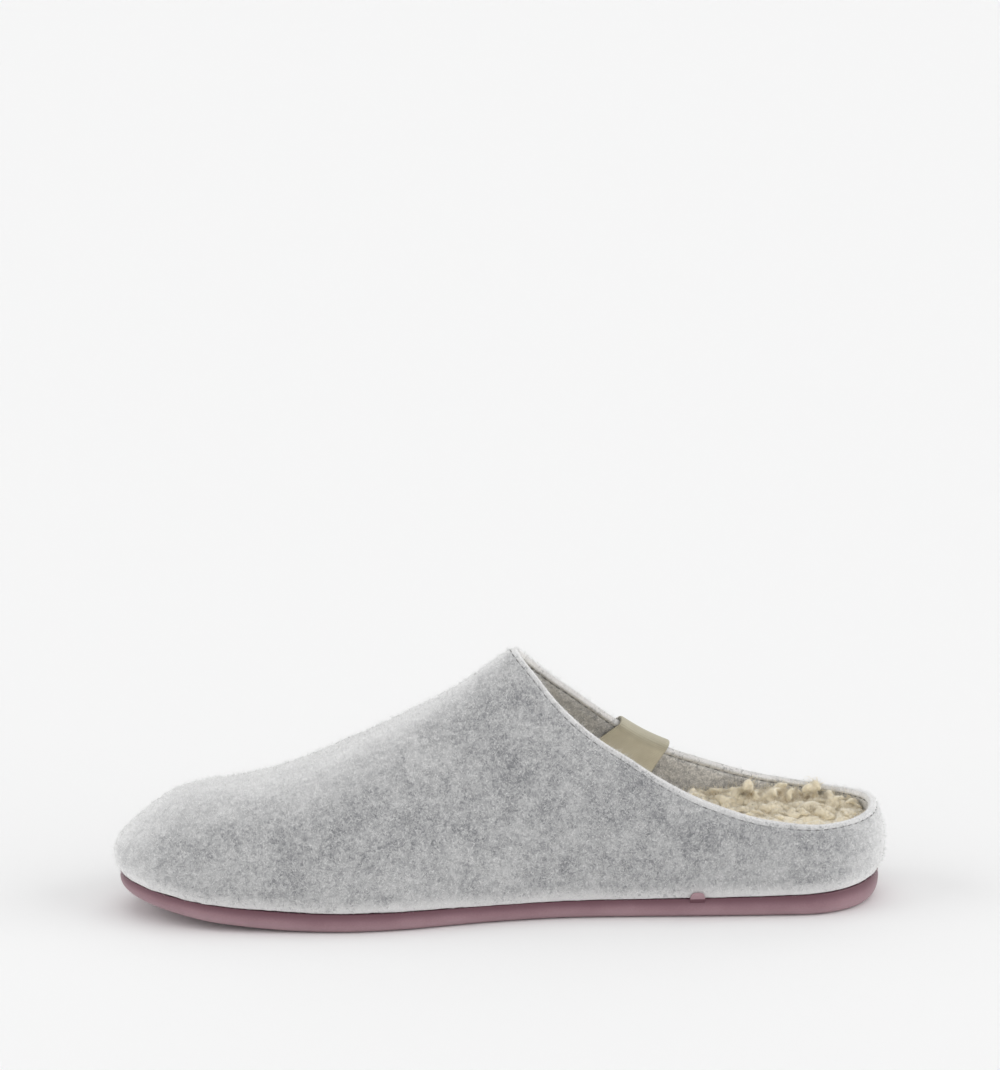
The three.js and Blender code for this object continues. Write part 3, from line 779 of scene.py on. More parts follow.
def makeSole():
    rings = []
    for t in np.linspace(0, 1, sole["sideRows"]):
        inset = sole["inset"] + sole["edgeRound"] * float(sideIn(t))
        plan = columnEdge - columnOutward * inset
        up = float(sideUp(t))
        z = soleUnder(plan[:, 0]) * (1 - up) + soleTop(plan[:, 0]) * up
        rings.append(raised(plan, z))
    bottom, top = [], []
    for share in capShares:
        for ring, level, caps in ((rings[0], soleUnder, bottom), (rings[-1], soleTop, top)):
            plan = ring[:, :2] * (1 - share) + spine * share
            caps.append(raised(plan, level(plan[:, 0])))
    rings = bottom[::-1] + rings + top
    count = len(rings)
    points = np.array(rings).reshape(-1, 3)
    faces = ringFaces(count, columnCount) + barFaces(count, columnCount)
    ringUnder = [1.0] * len(bottom) + [0.6, 0.2] + [0.0] * (count - len(bottom) - 2)
    nubPoints, nubFaces = makeNub()
    faces += [[n + len(points) for n in face] for face in nubFaces]
    under = np.concatenate([np.repeat(ringUnder, columnCount), np.zeros(len(nubPoints))])
    low, high = soleUnder(points[:, 0]), soleTop(points[:, 0])
    up = np.clip((points[:, 2] - low) / (high - low), 0, 1)
    # The nub above the sole gets a low mark, so it takes the lighter painted reflection and none
    # of the painted shade.
    nubUp = np.where(nubPoints[:, 2] > soleTop(nubPoints[:, 0]), 0.2, 1)
    points = np.concatenate([points, nubPoints])
    marks = {"under": under, "up": np.concatenate([up, nubUp])}
    return addPiece("rubberSole", toRow(points), faces, marks)


def rubberMaterial():
    material, board, place = makeMaterial("rubberMauve", sole["colour"])
    cloud = board.grain(place, 16, 3, 0.5)
    fine = board.grain(place, 0.5, 3, 0.6)
    # Painted reflection of the floor: the side grows lighter towards its bottom, with random
    # mottling. Painted shade: the top of the side, under the felt's overhang, is darkened.
    tone = (cloud - 0.5) * 0.5 + (fine - 0.5) * 0.3 + 1 - board.number("up") * 0.9
    colour = board.mix(tone.step(0.1, 1.1), sole["colour"], sole["paintedFloorReflection"])
    colour = board.mix(board.number("up").step(0.55, 1.0) * 0.75, colour, sole["shaded"])
    under = board.number("under").step(0.3, 0.9)
    parts = board.add("ShaderNodeSeparateXYZ", {}, {0: place})
    turns = 2 * math.pi / (sole["treadPitch"] * mm)
    sway = (parts.level("Y") * (turns * 0.55)).sine() * 0.9
    groove = (parts.level("X") * turns + sway).sine().step(-0.2, 0.35)
    # Painted shade: the tread's grooves on the underside are darkened.
    colour = board.mix(under * (1 - groove) * 0.35, colour, sole["treadGrooveShade"])
    height = fine * 0.12 + groove * under * 6
    board.finish(board.skin({
        "Base Color": colour,
        "Roughness": (fine - 0.5) * 0.16 + sole["roughness"],
        "Specular IOR Level": 0.42,
        "Normal": board.bump(height, 0.2, 0.6),
    }))
    return material


rubberSole = makeSole()
rubberSole.data.materials.append(rubberMaterial())
print("sole made,", len(rubberSole.data.polygons), "faces")

# The woven tape, folded over the outer side's collar.
tape = {
    "width": 20.0,
    "thickness": 0.9,
    "inside": 20.0,
    "outside": 13.0,
    "stand": 1.8,  # how far its fold stands off the collar at its heel end, and at its toe end
    "standFront": 1.05,
    "softening": 6,
    "foldPower": 0.6,  # under 1 makes the fold's corners fuller
    "place": 0.309,
    "stations": 44,
    "ribPitch": 0.62,
    "warpPitch": 0.42,
    "light": (0.48, 0.452, 0.35),
    "dark": (0.42, 0.388, 0.295),
    "paintedLightInside": (1.58, 1.58, 1.63),
}


def tapePath(stand):
    flat = shape["pieceGap"] + tape["thickness"] / 2
    past = felt["hemWidth"] + tape["thickness"]
    thick = felt["thickness"]
    path = [(tape["inside"], -thick - flat), ((tape["inside"] + past) / 2, -thick - flat),
            (past, -thick - flat), (past / 2, -thick - flat)]
    for n in range(13):
        angle = math.pi * (1 - n / 12)
        over, wide = math.sin(angle), math.cos(angle)
        path.append((-(stand + tape["thickness"] / 2) * abs(over) ** tape["foldPower"],
                     (thick / 2 + flat) * math.copysign(abs(wide) ** tape["foldPower"], wide)
                     - thick / 2))
    path += [(past / 2, flat), (past, flat), (tape["outside"], flat)]
    points = np.array(path)
    lengths = runningLength(points)
    smooth = alongLine(points, lengths, np.linspace(0, lengths[-1], 90))
    for _ in range(tape["softening"]):
        smooth[1:-1] = (smooth[:-2] + 2 * smooth[1:-1] + smooth[2:]) / 4
    return smooth


def onFelt(place, distance):
    before = int(math.floor(place))
    ends = []
    for c in (before % columnCount, (before + 1) % columnCount):
        ends.append(alongLine(columns[c], columnLengths[c], columnTotals[c] - distance))
    return ends[0] + (ends[1] - ends[0]) * (place - before)


def makeTape():
    half = tape["thickness"] / 2
    line, lengths = collarLines[-1], collarLengths[-1]
    middle = np.interp(tape["place"] * shape["length"], line[:, 0], lengths)
    shares = np.linspace(0, 1, 4000)
    collarAt = collarShare(shares) * lengths[-1]
    places = [
        halfCount * np.interp(middle + share * tape["width"], collarAt, shares)
        for share in np.linspace(-0.5, 0.5, tape["stations"])
    ]
    rings, us, vs = [], [], []
    for n, place in enumerate(places):
        forward = n / (tape["stations"] - 1)
        path = tapePath(tape["stand"] * (1 - forward) + tape["standFront"] * forward)
        runs = runningLength(path)
        along = np.gradient(path, axis=0)
        along = np.stack([along[:, 1], -along[:, 0]], -1)
        along /= np.linalg.norm(along, axis=1, keepdims=True)
        u = forward * tape["width"]
        edge = min(u, tape["width"] - u)
        thin = half * (0.45 + 0.55 * min(1, edge / 0.6) ** 0.5)
        ring = []
        for face in (1, -1):
            order = range(len(path)) if face == 1 else range(len(path) - 1, -1, -1)
            for k in order:
                down = path[k][0] - face * thin * along[k][0]
                out = path[k][1] - face * thin * along[k][1]
                distance = max(down, 0.0)
                step = 1.0
                across = onFelt(place + step, distance) - onFelt(place - step, distance)
                here = onFelt(place, distance)
                up = here - onFelt(place, distance + 1)
                up /= np.linalg.norm(up)
                outward = np.cross(across, up)
                outward /= np.linalg.norm(outward)
                ring.append(here + up * max(-down, 0.0) + outward * out)
                us.append(u)
                vs.append(runs[k])
        rings.append(ring)
    count = len(rings[0])
    points = np.array(rings).reshape(-1, 3)
    faces = ringFaces(len(rings), count)
    bars = count // 2
    for first, flip in ((0, True), ((len(rings) - 1) * count, False)):
        for k in range(bars - 1):
            bar = [first + k, first + k + 1, first + count - k - 2, first + count - k - 1]
            faces.append(bar if flip else bar[::-1])
    piece = addPiece("tapeTab", toRow(points), faces, {"tapeU": us, "tapeV": vs})
    return piece


def tapeMaterial():
    material, board, place = makeMaterial("tapeKhaki", tape["light"])
    u, v = board.number("tapeU"), board.number("tapeV")
    rib = (v * (2 * math.pi / tape["ribPitch"])).sine()
    warp = (u * (2 * math.pi / tape["warpPitch"]) + rib * 0.4).sine()
    cloud = board.grain(place, 4.0, 2, 0.5)
    fine = board.grain(place, 0.35, 2, 0.6)
    height = rib * 0.3 + warp * 0.25 + fine * 0.4
    tone = cloud * 0.5 + fine * 0.35 + rib * 0.06 + warp * 0.05
    colour = board.mix(tone.step(0.25, 0.62), tape["dark"], tape["light"])
    # Painted light: the tape's inner leg, up to its fold, is lightened to stand in for light that
    # the inner side lacks.
    within = 1 - v.step(tape["inside"] - 2.0, tape["inside"] + 2.0)
    colour = board.mix(within, colour, tape["paintedLightInside"], "MULTIPLY")
    board.finish(board.skin({
        "Base Color": colour,
        "Roughness": 0.62,
        "Specular IOR Level": 0.35,
        "Sheen Weight": 0.2,
        "Normal": board.bump(height, 0.12, 0.7),
    }))
    return material


tapeTab = makeTape()
tapeTab.data.materials.append(tapeMaterial())
print("tape made,", len(tapeTab.data.polygons), "faces")

# The footbed's wool: a closed bed with tufts pressed into its top.
wool = {
    "thickness": 17.0,
    "clearance": 0.5,
    "edgeSink": ((0.0, 3.2), (0.06, 0.85), (0.15, 0.0), (1.0, 0.0)),
    "rimReach": 0.75,
    "rows": 52,
    "openTo": 128.0,  # millimetres from the heel that the collar leaves open
    "tuftSize": 9.5,
    "tuftHeight": 3.4,
    "curlHeight": 0.9,
    "light": (0.87, 0.775, 0.58),
    "deep": (0.45, 0.345, 0.2),
    "paleAndSheen": (0.97, 0.92, 0.8),
    "calm": (-17.0, 3.0),  # across the footbed, from where to where the pile lies down
}


def woolTop(x, share):
    along = x / shape["length"]
    pile = pileShare(along) * np.maximum(0, 1 - share / wool["rimReach"]) ** 2
    return soleTop(x) + wool["thickness"] * (footbedShare(along) + pile)


def besideFelt(z):
    plans = np.zeros((columnCount, 2))
    for c in range(columnCount):
        heights = np.maximum.accumulate(columns[c][:, 2])
        length = np.interp(z[c], heights, columnLengths[c])
        wanted = [length, length + 1, length - 1]
        here, above, below = alongLine(columns[c], columnLengths[c], wanted)
        up = (above - below) / np.linalg.norm(above - below)
        inset = (felt["thickness"] + wool["clearance"]) / up[2]
        plans[c] = here[:2] - columnOutward[c] * inset
    return plans


def tuftAt(point):
    bent = Vector(point) / wool["tuftSize"]
    bent += 0.35 * noise.noise_vector(bent * 1.3)
    near = noise.voronoi(bent, distance_metric="DISTANCE")[0]
    return min(1.0, (near[1] - near[0]) * 1.9) ** 0.7


def calmAt(y):
    low, high = wool["calm"]
    return np.clip((y - low) / (high - low), 0, 1)


def makeWoolBed():
    starts = columns[:, 0, 2]
    rings, crests = [], [np.zeros(columnCount)] * 3
    for share in (0.0, 0.25, 0.5):
        plan = besideFelt(starts + share * shape["bulgeRise"])
        z = soleTop(plan[:, 0]) + shape["pieceGap"] + share * shape["bulgeRise"]
        rings.append(raised(plan, z))
    rim = besideFelt(woolTop(columnX, np.zeros(columnCount)) - wool["edgeSink"][0][1])
    sinkShares, sinks = zip(*wool["edgeSink"])
    ringShares = np.linspace(0, 0.97, wool["rows"])
    for share in ringShares:
        plan = rim * (1 - share) + spine * share
        reach = np.clip((wool["openTo"] - plan[:, 0]) / 20, 0.25, 1)
        calm = calmAt(plan[:, 1])
        edge = min(1.0, share / 0.08)
        flatPoints = np.concatenate([plan, np.zeros((columnCount, 1))], -1)
        tufts = np.array([tuftAt(p) for p in flatPoints])
        curls = rough(flatPoints, 2.6, 5.0)
        lift = (tufts * wool["tuftHeight"] - 1.6 + curls * wool["curlHeight"]) * (1 - 0.45 * calm)
        lift = lift * reach * edge
        # The crest mark is high on tufts and where the pile lies down; the wool's material paints
        # shade where it is low.
        crests.append(np.clip(0.25 + 0.75 * tufts + 0.6 * calm, 0, 1))
        z = woolTop(plan[:, 0], share) - np.interp(share, sinkShares, sinks) + lift
        rings.append(raised(plan, z))
    count = len(rings)
    faces = ringFaces(count, columnCount) + barFaces(count, columnCount)
    points = np.array(rings).reshape(-1, 3)
    shows = (np.arange(len(points)) >= 4 * columnCount) & (points[:, 0] < wool["openTo"])
    nearWall = np.clip(1 - np.concatenate([[1, 1, 1], ringShares]) / 0.35, 0, 1)
    size = np.repeat(0.75 + 0.15 * nearWall, columnCount)
    loose = shows * (1 - calmAt(points[:, 1]))
    return addPiece("woolBed", toRow(points), faces, {
        "shows": loose, "open": shows, "size": size, "crest": np.concatenate(crests),
    })


def woolMaterial():
    material, board, place = makeMaterial("woolCream", wool["light"])
    soft = board.grain(place, 5.5, 3, 0.55, 0.6)
    lined = board.stretched(place, (0.4, 0.2, 0.9), (1, 0.25, 1))
    strands = board.grain(lined, 0.7, 3, 0.6, 1.2)
    crest = board.number("crest")  # 0 in the gaps between locks, 1 on their tops
    tone = (soft - 0.5) * 0.7 + (strands - 0.5) * 0.6 + crest
    # Painted shade: the gaps between locks are coloured tan and their tops cream, with random
    # mottling and strand streaks.
    colour = board.mix(tone.step(-0.1, 0.65), wool["deep"], wool["light"])
    # Painted sheen: the colour turns paler towards grazing angles.
    colour = board.mix((board.graze() ** 1.5) * 0.5, colour, wool["paleAndSheen"])
    height = strands + soft * 0.4
    board.finish(board.skin({
        "Base Color": colour,
        "Roughness": 0.95,
        "Specular IOR Level": 0.1,
        "Sheen Weight": 0.8,
        "Normal": board.bump(height, 0.6, 0.7),
    }))
    return material


woolCream = woolMaterial()
woolBed = makeWoolBed()
woolBed.data.materials.append(woolCream)
print("wool bed made,", len(woolBed.data.polygons), "faces")


# Geometry trees: inputs by name, a modifier's values set by the socket's identifier.
def newTree(name, sockets):
    tree = bpy.data.node_groups.new(name, "GeometryNodeTree")
    tree.interface.new_socket(name="Geometry", in_out="INPUT", socket_type="NodeSocketGeometry")
    for label, kind in sockets:
        tree.interface.new_socket(name=label, in_out="INPUT", socket_type="NodeSocket" + kind)
    tree.interface.new_socket(name="Geometry", in_out="OUTPUT", socket_type="NodeSocketGeometry")
    board = Board(tree)
    start = board.add("NodeGroupInput")
    return tree, board, start


def endTree(board, start, points, one, turn, size):
    placed = board.add("GeometryNodeInstanceOnPoints", {}, {
        "Points": points, "Instance": one, "Rotation": turn, "Scale": size,
    })
    real = board.add("GeometryNodeRealizeInstances", {}, {0: placed})
    painted = board.add("GeometryNodeSetMaterial", {}, {0: real, "Material": start.out("Finish")})
    smooth = board.add("GeometryNodeSetShadeSmooth", {}, {0: painted})
    board.add("NodeGroupOutput", {}, {0: smooth})


def grow(name, base, tree, values):
    carrier = showObject(name + "Carrier", base.data.copy())
    modifier = carrier.modifiers.new("grow", "NODES")
    modifier.node_group = tree
    sockets = {item.name: item.identifier for item in tree.interface.items_tree
               if item.in_out == "INPUT"}
    for label, value in values.items():
        modifier[sockets[label]] = value
    bpy.context.view_layer.update()
    depsgraph = bpy.context.evaluated_depsgraph_get()
    mesh = bpy.data.meshes.new_from_object(carrier.evaluated_get(depsgraph))
    mesh.name = name
    carrier.modifiers.remove(modifier)
    bpy.data.objects.remove(carrier)
    return showObject(name, mesh)


# Hairs or curls scattered over a surface and leaning the way a slow noise points.
def scatterTree():
    sockets = [("Shape", "Object"), ("Finish", "Material"), ("Seed", "Int")]
    for label in ("Density", "Least", "Most", "Upright", "Lean", "Lean size", "Wild", "Sink"):
        sockets.append((label, "Float"))
    tree, board, start = newTree("hairsOnSurface", sockets)
    points = board.add("GeometryNodeDistributePointsOnFaces", {}, {
        "Mesh": start.out("Geometry"),
        "Density": board.named("shows") * start.level("Density"),
        "Seed": start.out("Seed"),
    })
    normal = points.out("Normal")
    slow = board.add("ShaderNodeTexNoise", {}, {
        "Vector": board.add("GeometryNodeInputPosition"),
        "Scale": start.out("Lean size"),
        "Detail": 1.0,
    })
    centred = board.vectors("SUBTRACT", slow.out("Color"), (0.5, 0.5, 0.5))
    lean = board.vectors("SCALE", centred, start.out("Lean"))
    anyWay = board.add("FunctionNodeRandomValue", {"data_type": "FLOAT_VECTOR"},
                       {0: (-1, -1, -1), 1: (1, 1, 1), "Seed": 11})
    wild = board.vectors("SCALE", anyWay, start.out("Wild"))
    upright = board.vectors("SCALE", normal, start.out("Upright"))
    aim = board.vectors("ADD", board.vectors("ADD", lean, wild), upright)
    spin = board.add("FunctionNodeAxisAngleToRotation", {}, {
        "Axis": (0, 0, 1), "Angle": board.chance(0.0, 2 * math.pi, 23),
    })
    turn = board.add("FunctionNodeRotateRotation", {"rotation_space": "LOCAL"},
                     {0: board.aimed("Z", aim), 1: spin})
    size = board.chance(start.out("Least"), start.out("Most"), 31) * board.named("size")
    offset = board.vectors("SCALE", normal, start.out("Sink"))
    sunk = board.add("GeometryNodeSetPosition", {}, {0: points, "Offset": offset})
    one = board.add("GeometryNodeObjectInfo", {}, {"Object": start.out("Shape")})
    endTree(board, start, sunk, one.out("Geometry"), turn, size)
    return tree


# A hair along points, three-sided, running out to a point.
def hairMesh(name, path, radius):
    points, faces = [], []
    steps = len(path) - 1
    for n, centre in enumerate(path[:-1]):
        along = (path[n + 1] - path[max(0, n - 1)]).normalized()
        side = along.cross(Vector((0.31, 0.87, 0.37))).normalized()
        other = along.cross(side)
        size = radius * (1 - 0.5 * n / steps)
        for k in range(3):
            angle = 2 * math.pi * k / 3
            points.append(centre + size * (math.cos(angle) * side + math.sin(angle) * other))
    points.append(path[-1])
    for n in range(steps - 1):
        for k in range(3):
            low, after = 3 * n, (k + 1) % 3
            faces.append((low + k, low + after, low + 3 + after, low + 3 + k))
    last = 3 * (steps - 1)
    faces += [(last + k, last + (k + 1) % 3, last + 3) for k in range(3)]
    faces.append((2, 1, 0))
    # A full crest mark keeps the wool's painted gap shade off the hairs.
    crest = {"crest": np.ones(len(points))}
    return addPiece(name, np.array([tuple(p) for p in points]), faces, crest)


# Loose hairs of the felt.
fuzz = {
    "length": 2.0,
    "radius": 0.04,
    "perSquareMillimetre": 0.85,
    "insideTo": 30.0,  # how far down the felt's inner face they grow
    "lowBand": 2.0,  # the felt's foot, where they are thicker set and shorter
    "lowShare": 3.5,
    "lowSize": 0.45,
}


def markFelt():
    mesh = feltShell.data
    inside, edge, foot = [readNumbers(mesh, key) for key in ("inside", "fromEdge", "fromSole")]
    low = foot < fuzz["lowBand"]
    shows = np.where(inside < 0.5, 1.0, np.where(edge < fuzz["insideTo"], 0.4, 0.0))
    shows = shows * np.where(edge < felt["hemWidth"] - 0.3, 1.6, 1.0)
    writeNumbers(mesh, "shows", shows * np.where(low, fuzz["lowShare"], 1.0))
    writeNumbers(mesh, "size", np.where(low, fuzz["lowSize"], 1.0))


def makeFuzz(tree, name, seed, upright):
    length = fuzz["length"] * mm
    hair = hairMesh("hair", [Vector((0, 0, 0)), Vector((0, 0, 1)) * length], fuzz["radius"] * mm)
    piece = grow(name, feltShell, tree, {
        "Shape": hair, "Finish": feltFuzz, "Density": fuzz["perSquareMillimetre"] / mm ** 2,
        "Seed": seed, "Least": 0.5, "Most": 1.3, "Upright": upright, "Lean": 1.6,
        "Lean size": 1 / (3 * mm), "Wild": 0.8, "Sink": -0.05 * mm,
    })
    bpy.data.objects.remove(hair)
    return piece


# The wool's locks: bent drops, and flat lumps under them, melted into one soft mass.
lock = {
    "length": 9.0,
    "thick": 1.25,
    "sides": 10,
    "rings": 9,
    "density": 0.035,  # to a square millimetre, and for the lumps
    "lumpDensity": 0.08,
    "lump": (3.6, 3.6, 1.5),
    "voxel": 0.6,
    "smoothing": 4,
    "curls": ((4.2, 0.5), (1.9, 0.3)),  # size and height of the relief on the melted locks
    "root": (9.0, -2.6),  # a wall lock's foot, in from the felt's edge and over the bed
    "wideWithSize": 0.25,  # a tall wall lock is hardly wider than a low one
    "creaseRounds": 24,
    "clearance": 0.5,  # to the felt's inner face, and at the tape
    "tapeClearance": 2.2,
    "tapeReach": 0.06,  # share of the length, either way from the tape's middle
}


# along, size, turn: locks that stand against the outer wall, from the heel
wallLocks = [
    (8.0, 0.85, 40),
    (12.0, 0.8, 150),
    (15.5, 0.75, 60),
    (18.5, 1.0, 110),
    (21.5, 1.35, 40),
    (24.0, 1.45, 130),
    (28.5, 1.1, 60),
    (33.5, 0.85, 10),
    (38.0, 1.0, 120),
    (44.5, 1.5, 75),
    (48.5, 1.05, 160),
    (54.0, 0.8, 140),
    (60.0, 0.85, 30),
    (66.0, 0.75, 100),
]


def lockMesh():
    sides, count = lock["sides"], lock["rings"]
    turn = 2 * np.pi * np.arange(sides) / sides
    x = z = 0.0
    rings = []
    for n in range(count):
        t = n / (count - 1)
        lean = 2.3 * t ** 1.4
        x += math.sin(lean) * lock["length"] / (count - 1)
        z += math.cos(lean) * lock["length"] / (count - 1)
        radius = lock["thick"] * (0.8 + 0.35 * math.sin(math.pi * t)) * math.sqrt(1.02 - t ** 5)
        centre = np.array([x, 0.9 * math.sin(math.pi * t), z])
        side = np.array([math.cos(lean), 0, -math.sin(lean)])
        rings.append(centre + radius * (np.cos(turn)[:, None] * side
                                        + np.sin(turn)[:, None] * np.array([0, 1, 0])))
    faces = ringFaces(count, sides) + endFaces(count, sides)
    return addPiece("lock", np.concatenate(rings) * mm, faces)


def lumpMesh():
    sides = lock["sides"]
    turn = 2 * np.pi * np.arange(sides) / sides
    rings = []
    for rise in np.linspace(-math.pi / 2, math.pi / 2, 7)[1:-1]:
        plan = math.cos(rise) * np.stack([np.cos(turn), np.sin(turn)], -1)
        rings.append(raised(plan, np.full(sides, math.sin(rise))))
    faces = ringFaces(len(rings), sides) + endFaces(len(rings), sides)
    return addPiece("lump", np.concatenate(rings) * np.array(lock["lump"]) * mm, faces)


def joined(parts):
    faces, first = [], 0
    for points, partFaces in parts:
        faces += [tuple(n + first for n in face) for face in partFaces]
        first += len(points)
    return np.concatenate([points for points, _ in parts]), faces


def placedWallLocks():
    one = lockMesh()
    points, faces = meshArrays(one.data)
    bpy.data.objects.remove(one)
    inward, over = lock["root"]
    placed = []
    for along, size, turn in wallLocks:
        x = np.array(along)
        y = float(edgePoint(x, -1)[1]) + inward
        foot = toRow([along, y, float(woolTop(x, 0.2)) + over])
        turned = Matrix.Rotation(math.radians(turn), 3, "Z")
        sizes = np.array([size ** lock["wideWithSize"]] * 2 + [size])
        placed.append((points @ np.array(turned).T * sizes + foot, faces))
    return joined(placed)


def meshArrays(mesh):
    points = np.zeros(len(mesh.vertices) * 3)
    mesh.vertices.foreach_get("co", points)
    return points.reshape(-1, 3), [tuple(p.vertices) for p in mesh.polygons]


def innerFelt():
    points, faces = meshArrays(feltShell.data)
    inside = readNumbers(feltShell.data, "inside")
    kept = [face for face in faces if all(inside[n] > 0.95 for n in face)]
    return BVHTree.FromPolygons([Vector(p) for p in points], kept)


def keepInside(points):
    wall = innerFelt()
    low, high = [
        (tape["place"] + side * lock["tapeReach"]) * shape["length"] + shape["heelBack"]
        for side in (-1, 1)
    ]
    for n, point in enumerate(points):
        near, normal, _, _ = wall.find_nearest(Vector(point))
        besideTape = point[1] < 0 and low * mm < point[0] < high * mm
        clearance = lock["tapeClearance" if besideTape else "clearance"] * mm
        away = (Vector(point) - near).dot(normal)
        if away < clearance:
            points[n] = np.array(point) + np.array(normal) * (clearance - away)
    return points


def smoothedOver(points, ends, rounds):
    count = len(points)
    near = np.bincount(ends.ravel(), minlength=count).clip(1)
    for _ in range(rounds):
        total = np.stack([
            np.bincount(ends[:, 0], points[ends[:, 1], k], count)
            + np.bincount(ends[:, 1], points[ends[:, 0], k], count)
            for k in range(3)
        ], -1)
        points = (points + total / near[:, None]) / 2
    return points


def makeWoolMass(tree):
    parts = [placedWallLocks()]
    for one, density, sink, upright, seed in (
        (lockMesh(), lock["density"], -2.5, 0.5, 5),
        (lumpMesh(), lock["lumpDensity"], 0.4, 4.0, 12),
    ):
        grown = grow("part", woolBed, tree, {
            "Shape": one, "Finish": woolCream, "Density": density / mm ** 2, "Seed": seed,
            "Least": 0.7, "Most": 1.15, "Upright": upright, "Lean": 2.6,
            "Lean size": 1 / (14 * mm), "Wild": 0.25, "Sink": sink * mm,
        })
        parts.append(meshArrays(grown.data))
        bpy.data.objects.remove(grown)
        bpy.data.objects.remove(one)
    heap = addPiece("woolParts", *joined(parts))
    remesh = heap.modifiers.new("melt", "REMESH")
    remesh.mode = "VOXEL"
    remesh.voxel_size = lock["voxel"] * mm
    smooth = heap.modifiers.new("soften", "SMOOTH")
    smooth.iterations = lock["smoothing"]
    bpy.context.view_layer.update()
    depsgraph = bpy.context.evaluated_depsgraph_get()
    mesh = bpy.data.meshes.new_from_object(heap.evaluated_get(depsgraph))
    bpy.data.objects.remove(heap)
    points, faces = meshArrays(mesh)
    normals, ends = np.zeros(len(points) * 3), np.zeros(len(mesh.edges) * 2, np.int32)
    mesh.vertices.foreach_get("normal", normals)
    mesh.edges.foreach_get("vertices", ends)
    normals, ends = normals.reshape(-1, 3), ends.reshape(-1, 2)
    relief = sum(height * rough(points / mm, size, 2.7) for size, height in lock["curls"])
    points = keepInside(points + normals * (relief * mm)[:, None])
    # The crest mark: how far the surface stands proud of a smoothed copy; the wool's material
    # paints shade where it is low.
    softened = smoothedOver(points, ends, lock["creaseRounds"])
    proud = ((points - softened) * normals).sum(-1) / mm
    crest = np.clip(0.5 + proud / 0.8, 0, 1)
    piece = addPiece("woolLocks", points, faces, {
        "crest": crest, "shows": np.ones(len(points)), "size": np.ones(len(points)),
    })
    piece.data.materials.append(woolCream)
    return piece


# Bent strands over the locks, and short straight fuzz between them.
strand = {
    "length": 3.6,
    "radius": 0.06,
    "density": 0.6,
    "path": ((0.2, 0.1, 0.5), (0.65, -0.1, 0.7)),
}
nap = {"length": 1.9, "radius": 0.055, "density": 1.9, "path": ((0, 0, 1),)}


def makeStrands(tree, base, name, sizes, seed):
    path = [Vector(point) * sizes["length"] * mm for point in ((0, 0, 0), *sizes["path"])]
    one = hairMesh("strand", path, sizes["radius"] * mm)
    piece = grow(name, base, tree, {
        "Shape": one, "Finish": woolCream, "Density": sizes["density"] / mm ** 2,
        "Seed": seed, "Least": 0.6, "Most": 1.3, "Upright": 0.45, "Lean": 2.2,
        "Lean size": 1 / (4 * mm), "Wild": 0.55, "Sink": -0.1 * mm,
    })
    bpy.data.objects.remove(one)
    return piece


scatter = scatterTree()
markFelt()
feltHairs = makeFuzz(scatter, "feltHairs", 4, 0.3)
feltHairsLow = makeFuzz(scatter, "feltHairsLow", 9, 0.12)
print("felt hairs grown,", len(feltHairs.data.polygons), len(feltHairsLow.data.polygons), "faces")
woolLocks = makeWoolMass(scatter)
woolStrands = makeStrands(scatter, woolLocks, "woolStrands", strand, 3)
woolFuzz = makeStrands(scatter, woolLocks, "woolFuzz", nap, 14)
writeNumbers(woolBed.data, "shows", readNumbers(woolBed.data, "open"))
woolNap = makeStrands(scatter, woolBed, "woolNap", nap, 8)
print("wool grown,", len(woolLocks.data.polygons), "faces")


# Stitches follow the seam round the collar, outside and inside.
stitch = {
    "long": 2.0,
    "thick": 0.36,
    "proud": 0.08,
    "dark": (0.1, 0.098, 0.1),
    "light": (0.24, 0.236, 0.236),
}


def stitchTree():
    sockets = [("Finish", "Material"), ("Pitch", "Float"), ("Long", "Float"), ("Thick", "Float")]
    tree, board, start = newTree("stitchesOnLine", sockets)
    line = board.add("GeometryNodeMeshToCurve", {}, {0: start.out("Geometry")})
    points = board.add("GeometryNodeCurveToPoints", {"mode": "LENGTH"},
                       {0: line, "Length": start.out("Pitch")})
    ball = board.add("GeometryNodeMeshUVSphere", {}, {"Segments": 8, "Rings": 6, "Radius": 0.5})
    size = board.add("ShaderNodeCombineXYZ", {}, {
        0: start.out("Long"), 1: start.out("Thick"), 2: start.out("Thick"),
    })
    endTree(board, start, points, ball, board.aimed("X", points.out("Tangent")), size)
    return tree


def threadMaterial():
    material, board, place = makeMaterial("threadGrey", (0.16, 0.157, 0.16))
    twist = board.grain(place, 0.3, 2, 0.6)
    board.finish(board.skin({
        "Base Color": board.mix(twist.step(0.3, 0.7), stitch["dark"], stitch["light"]),
        "Roughness": 0.75,
        "Normal": board.bump(twist, 0.1, 0.6),
    }))
    return material


def makeStitches():
    tree = stitchTree()
    line, normals = seamLine(outerFace)
    depth = felt["thickness"] * 0.1 + felt["seamDepth"]
    paths = [line - normals * (depth - stitch["proud"]),
             line - normals * (felt["thickness"] - depth + stitch["proud"])]
    points = toRow(np.concatenate(paths))
    edges = [(first + k, first + (k + 1) % columnCount)
             for first in (0, columnCount) for k in range(columnCount)]
    mesh = bpy.data.meshes.new("seamLines")
    mesh.from_pydata(points.tolist(), edges, [])
    holder = bpy.data.objects.new("seamLines", mesh)
    piece = grow("collarStitches", holder, tree, {
        "Finish": threadMaterial(), "Pitch": felt["stitchPitch"] * mm,
        "Long": stitch["long"] * mm, "Thick": stitch["thick"] * mm,
    })
    bpy.data.objects.remove(holder)
    return piece


collarStitches = makeStitches()
print("stitches made,", len(collarStitches.data.polygons), "faces")

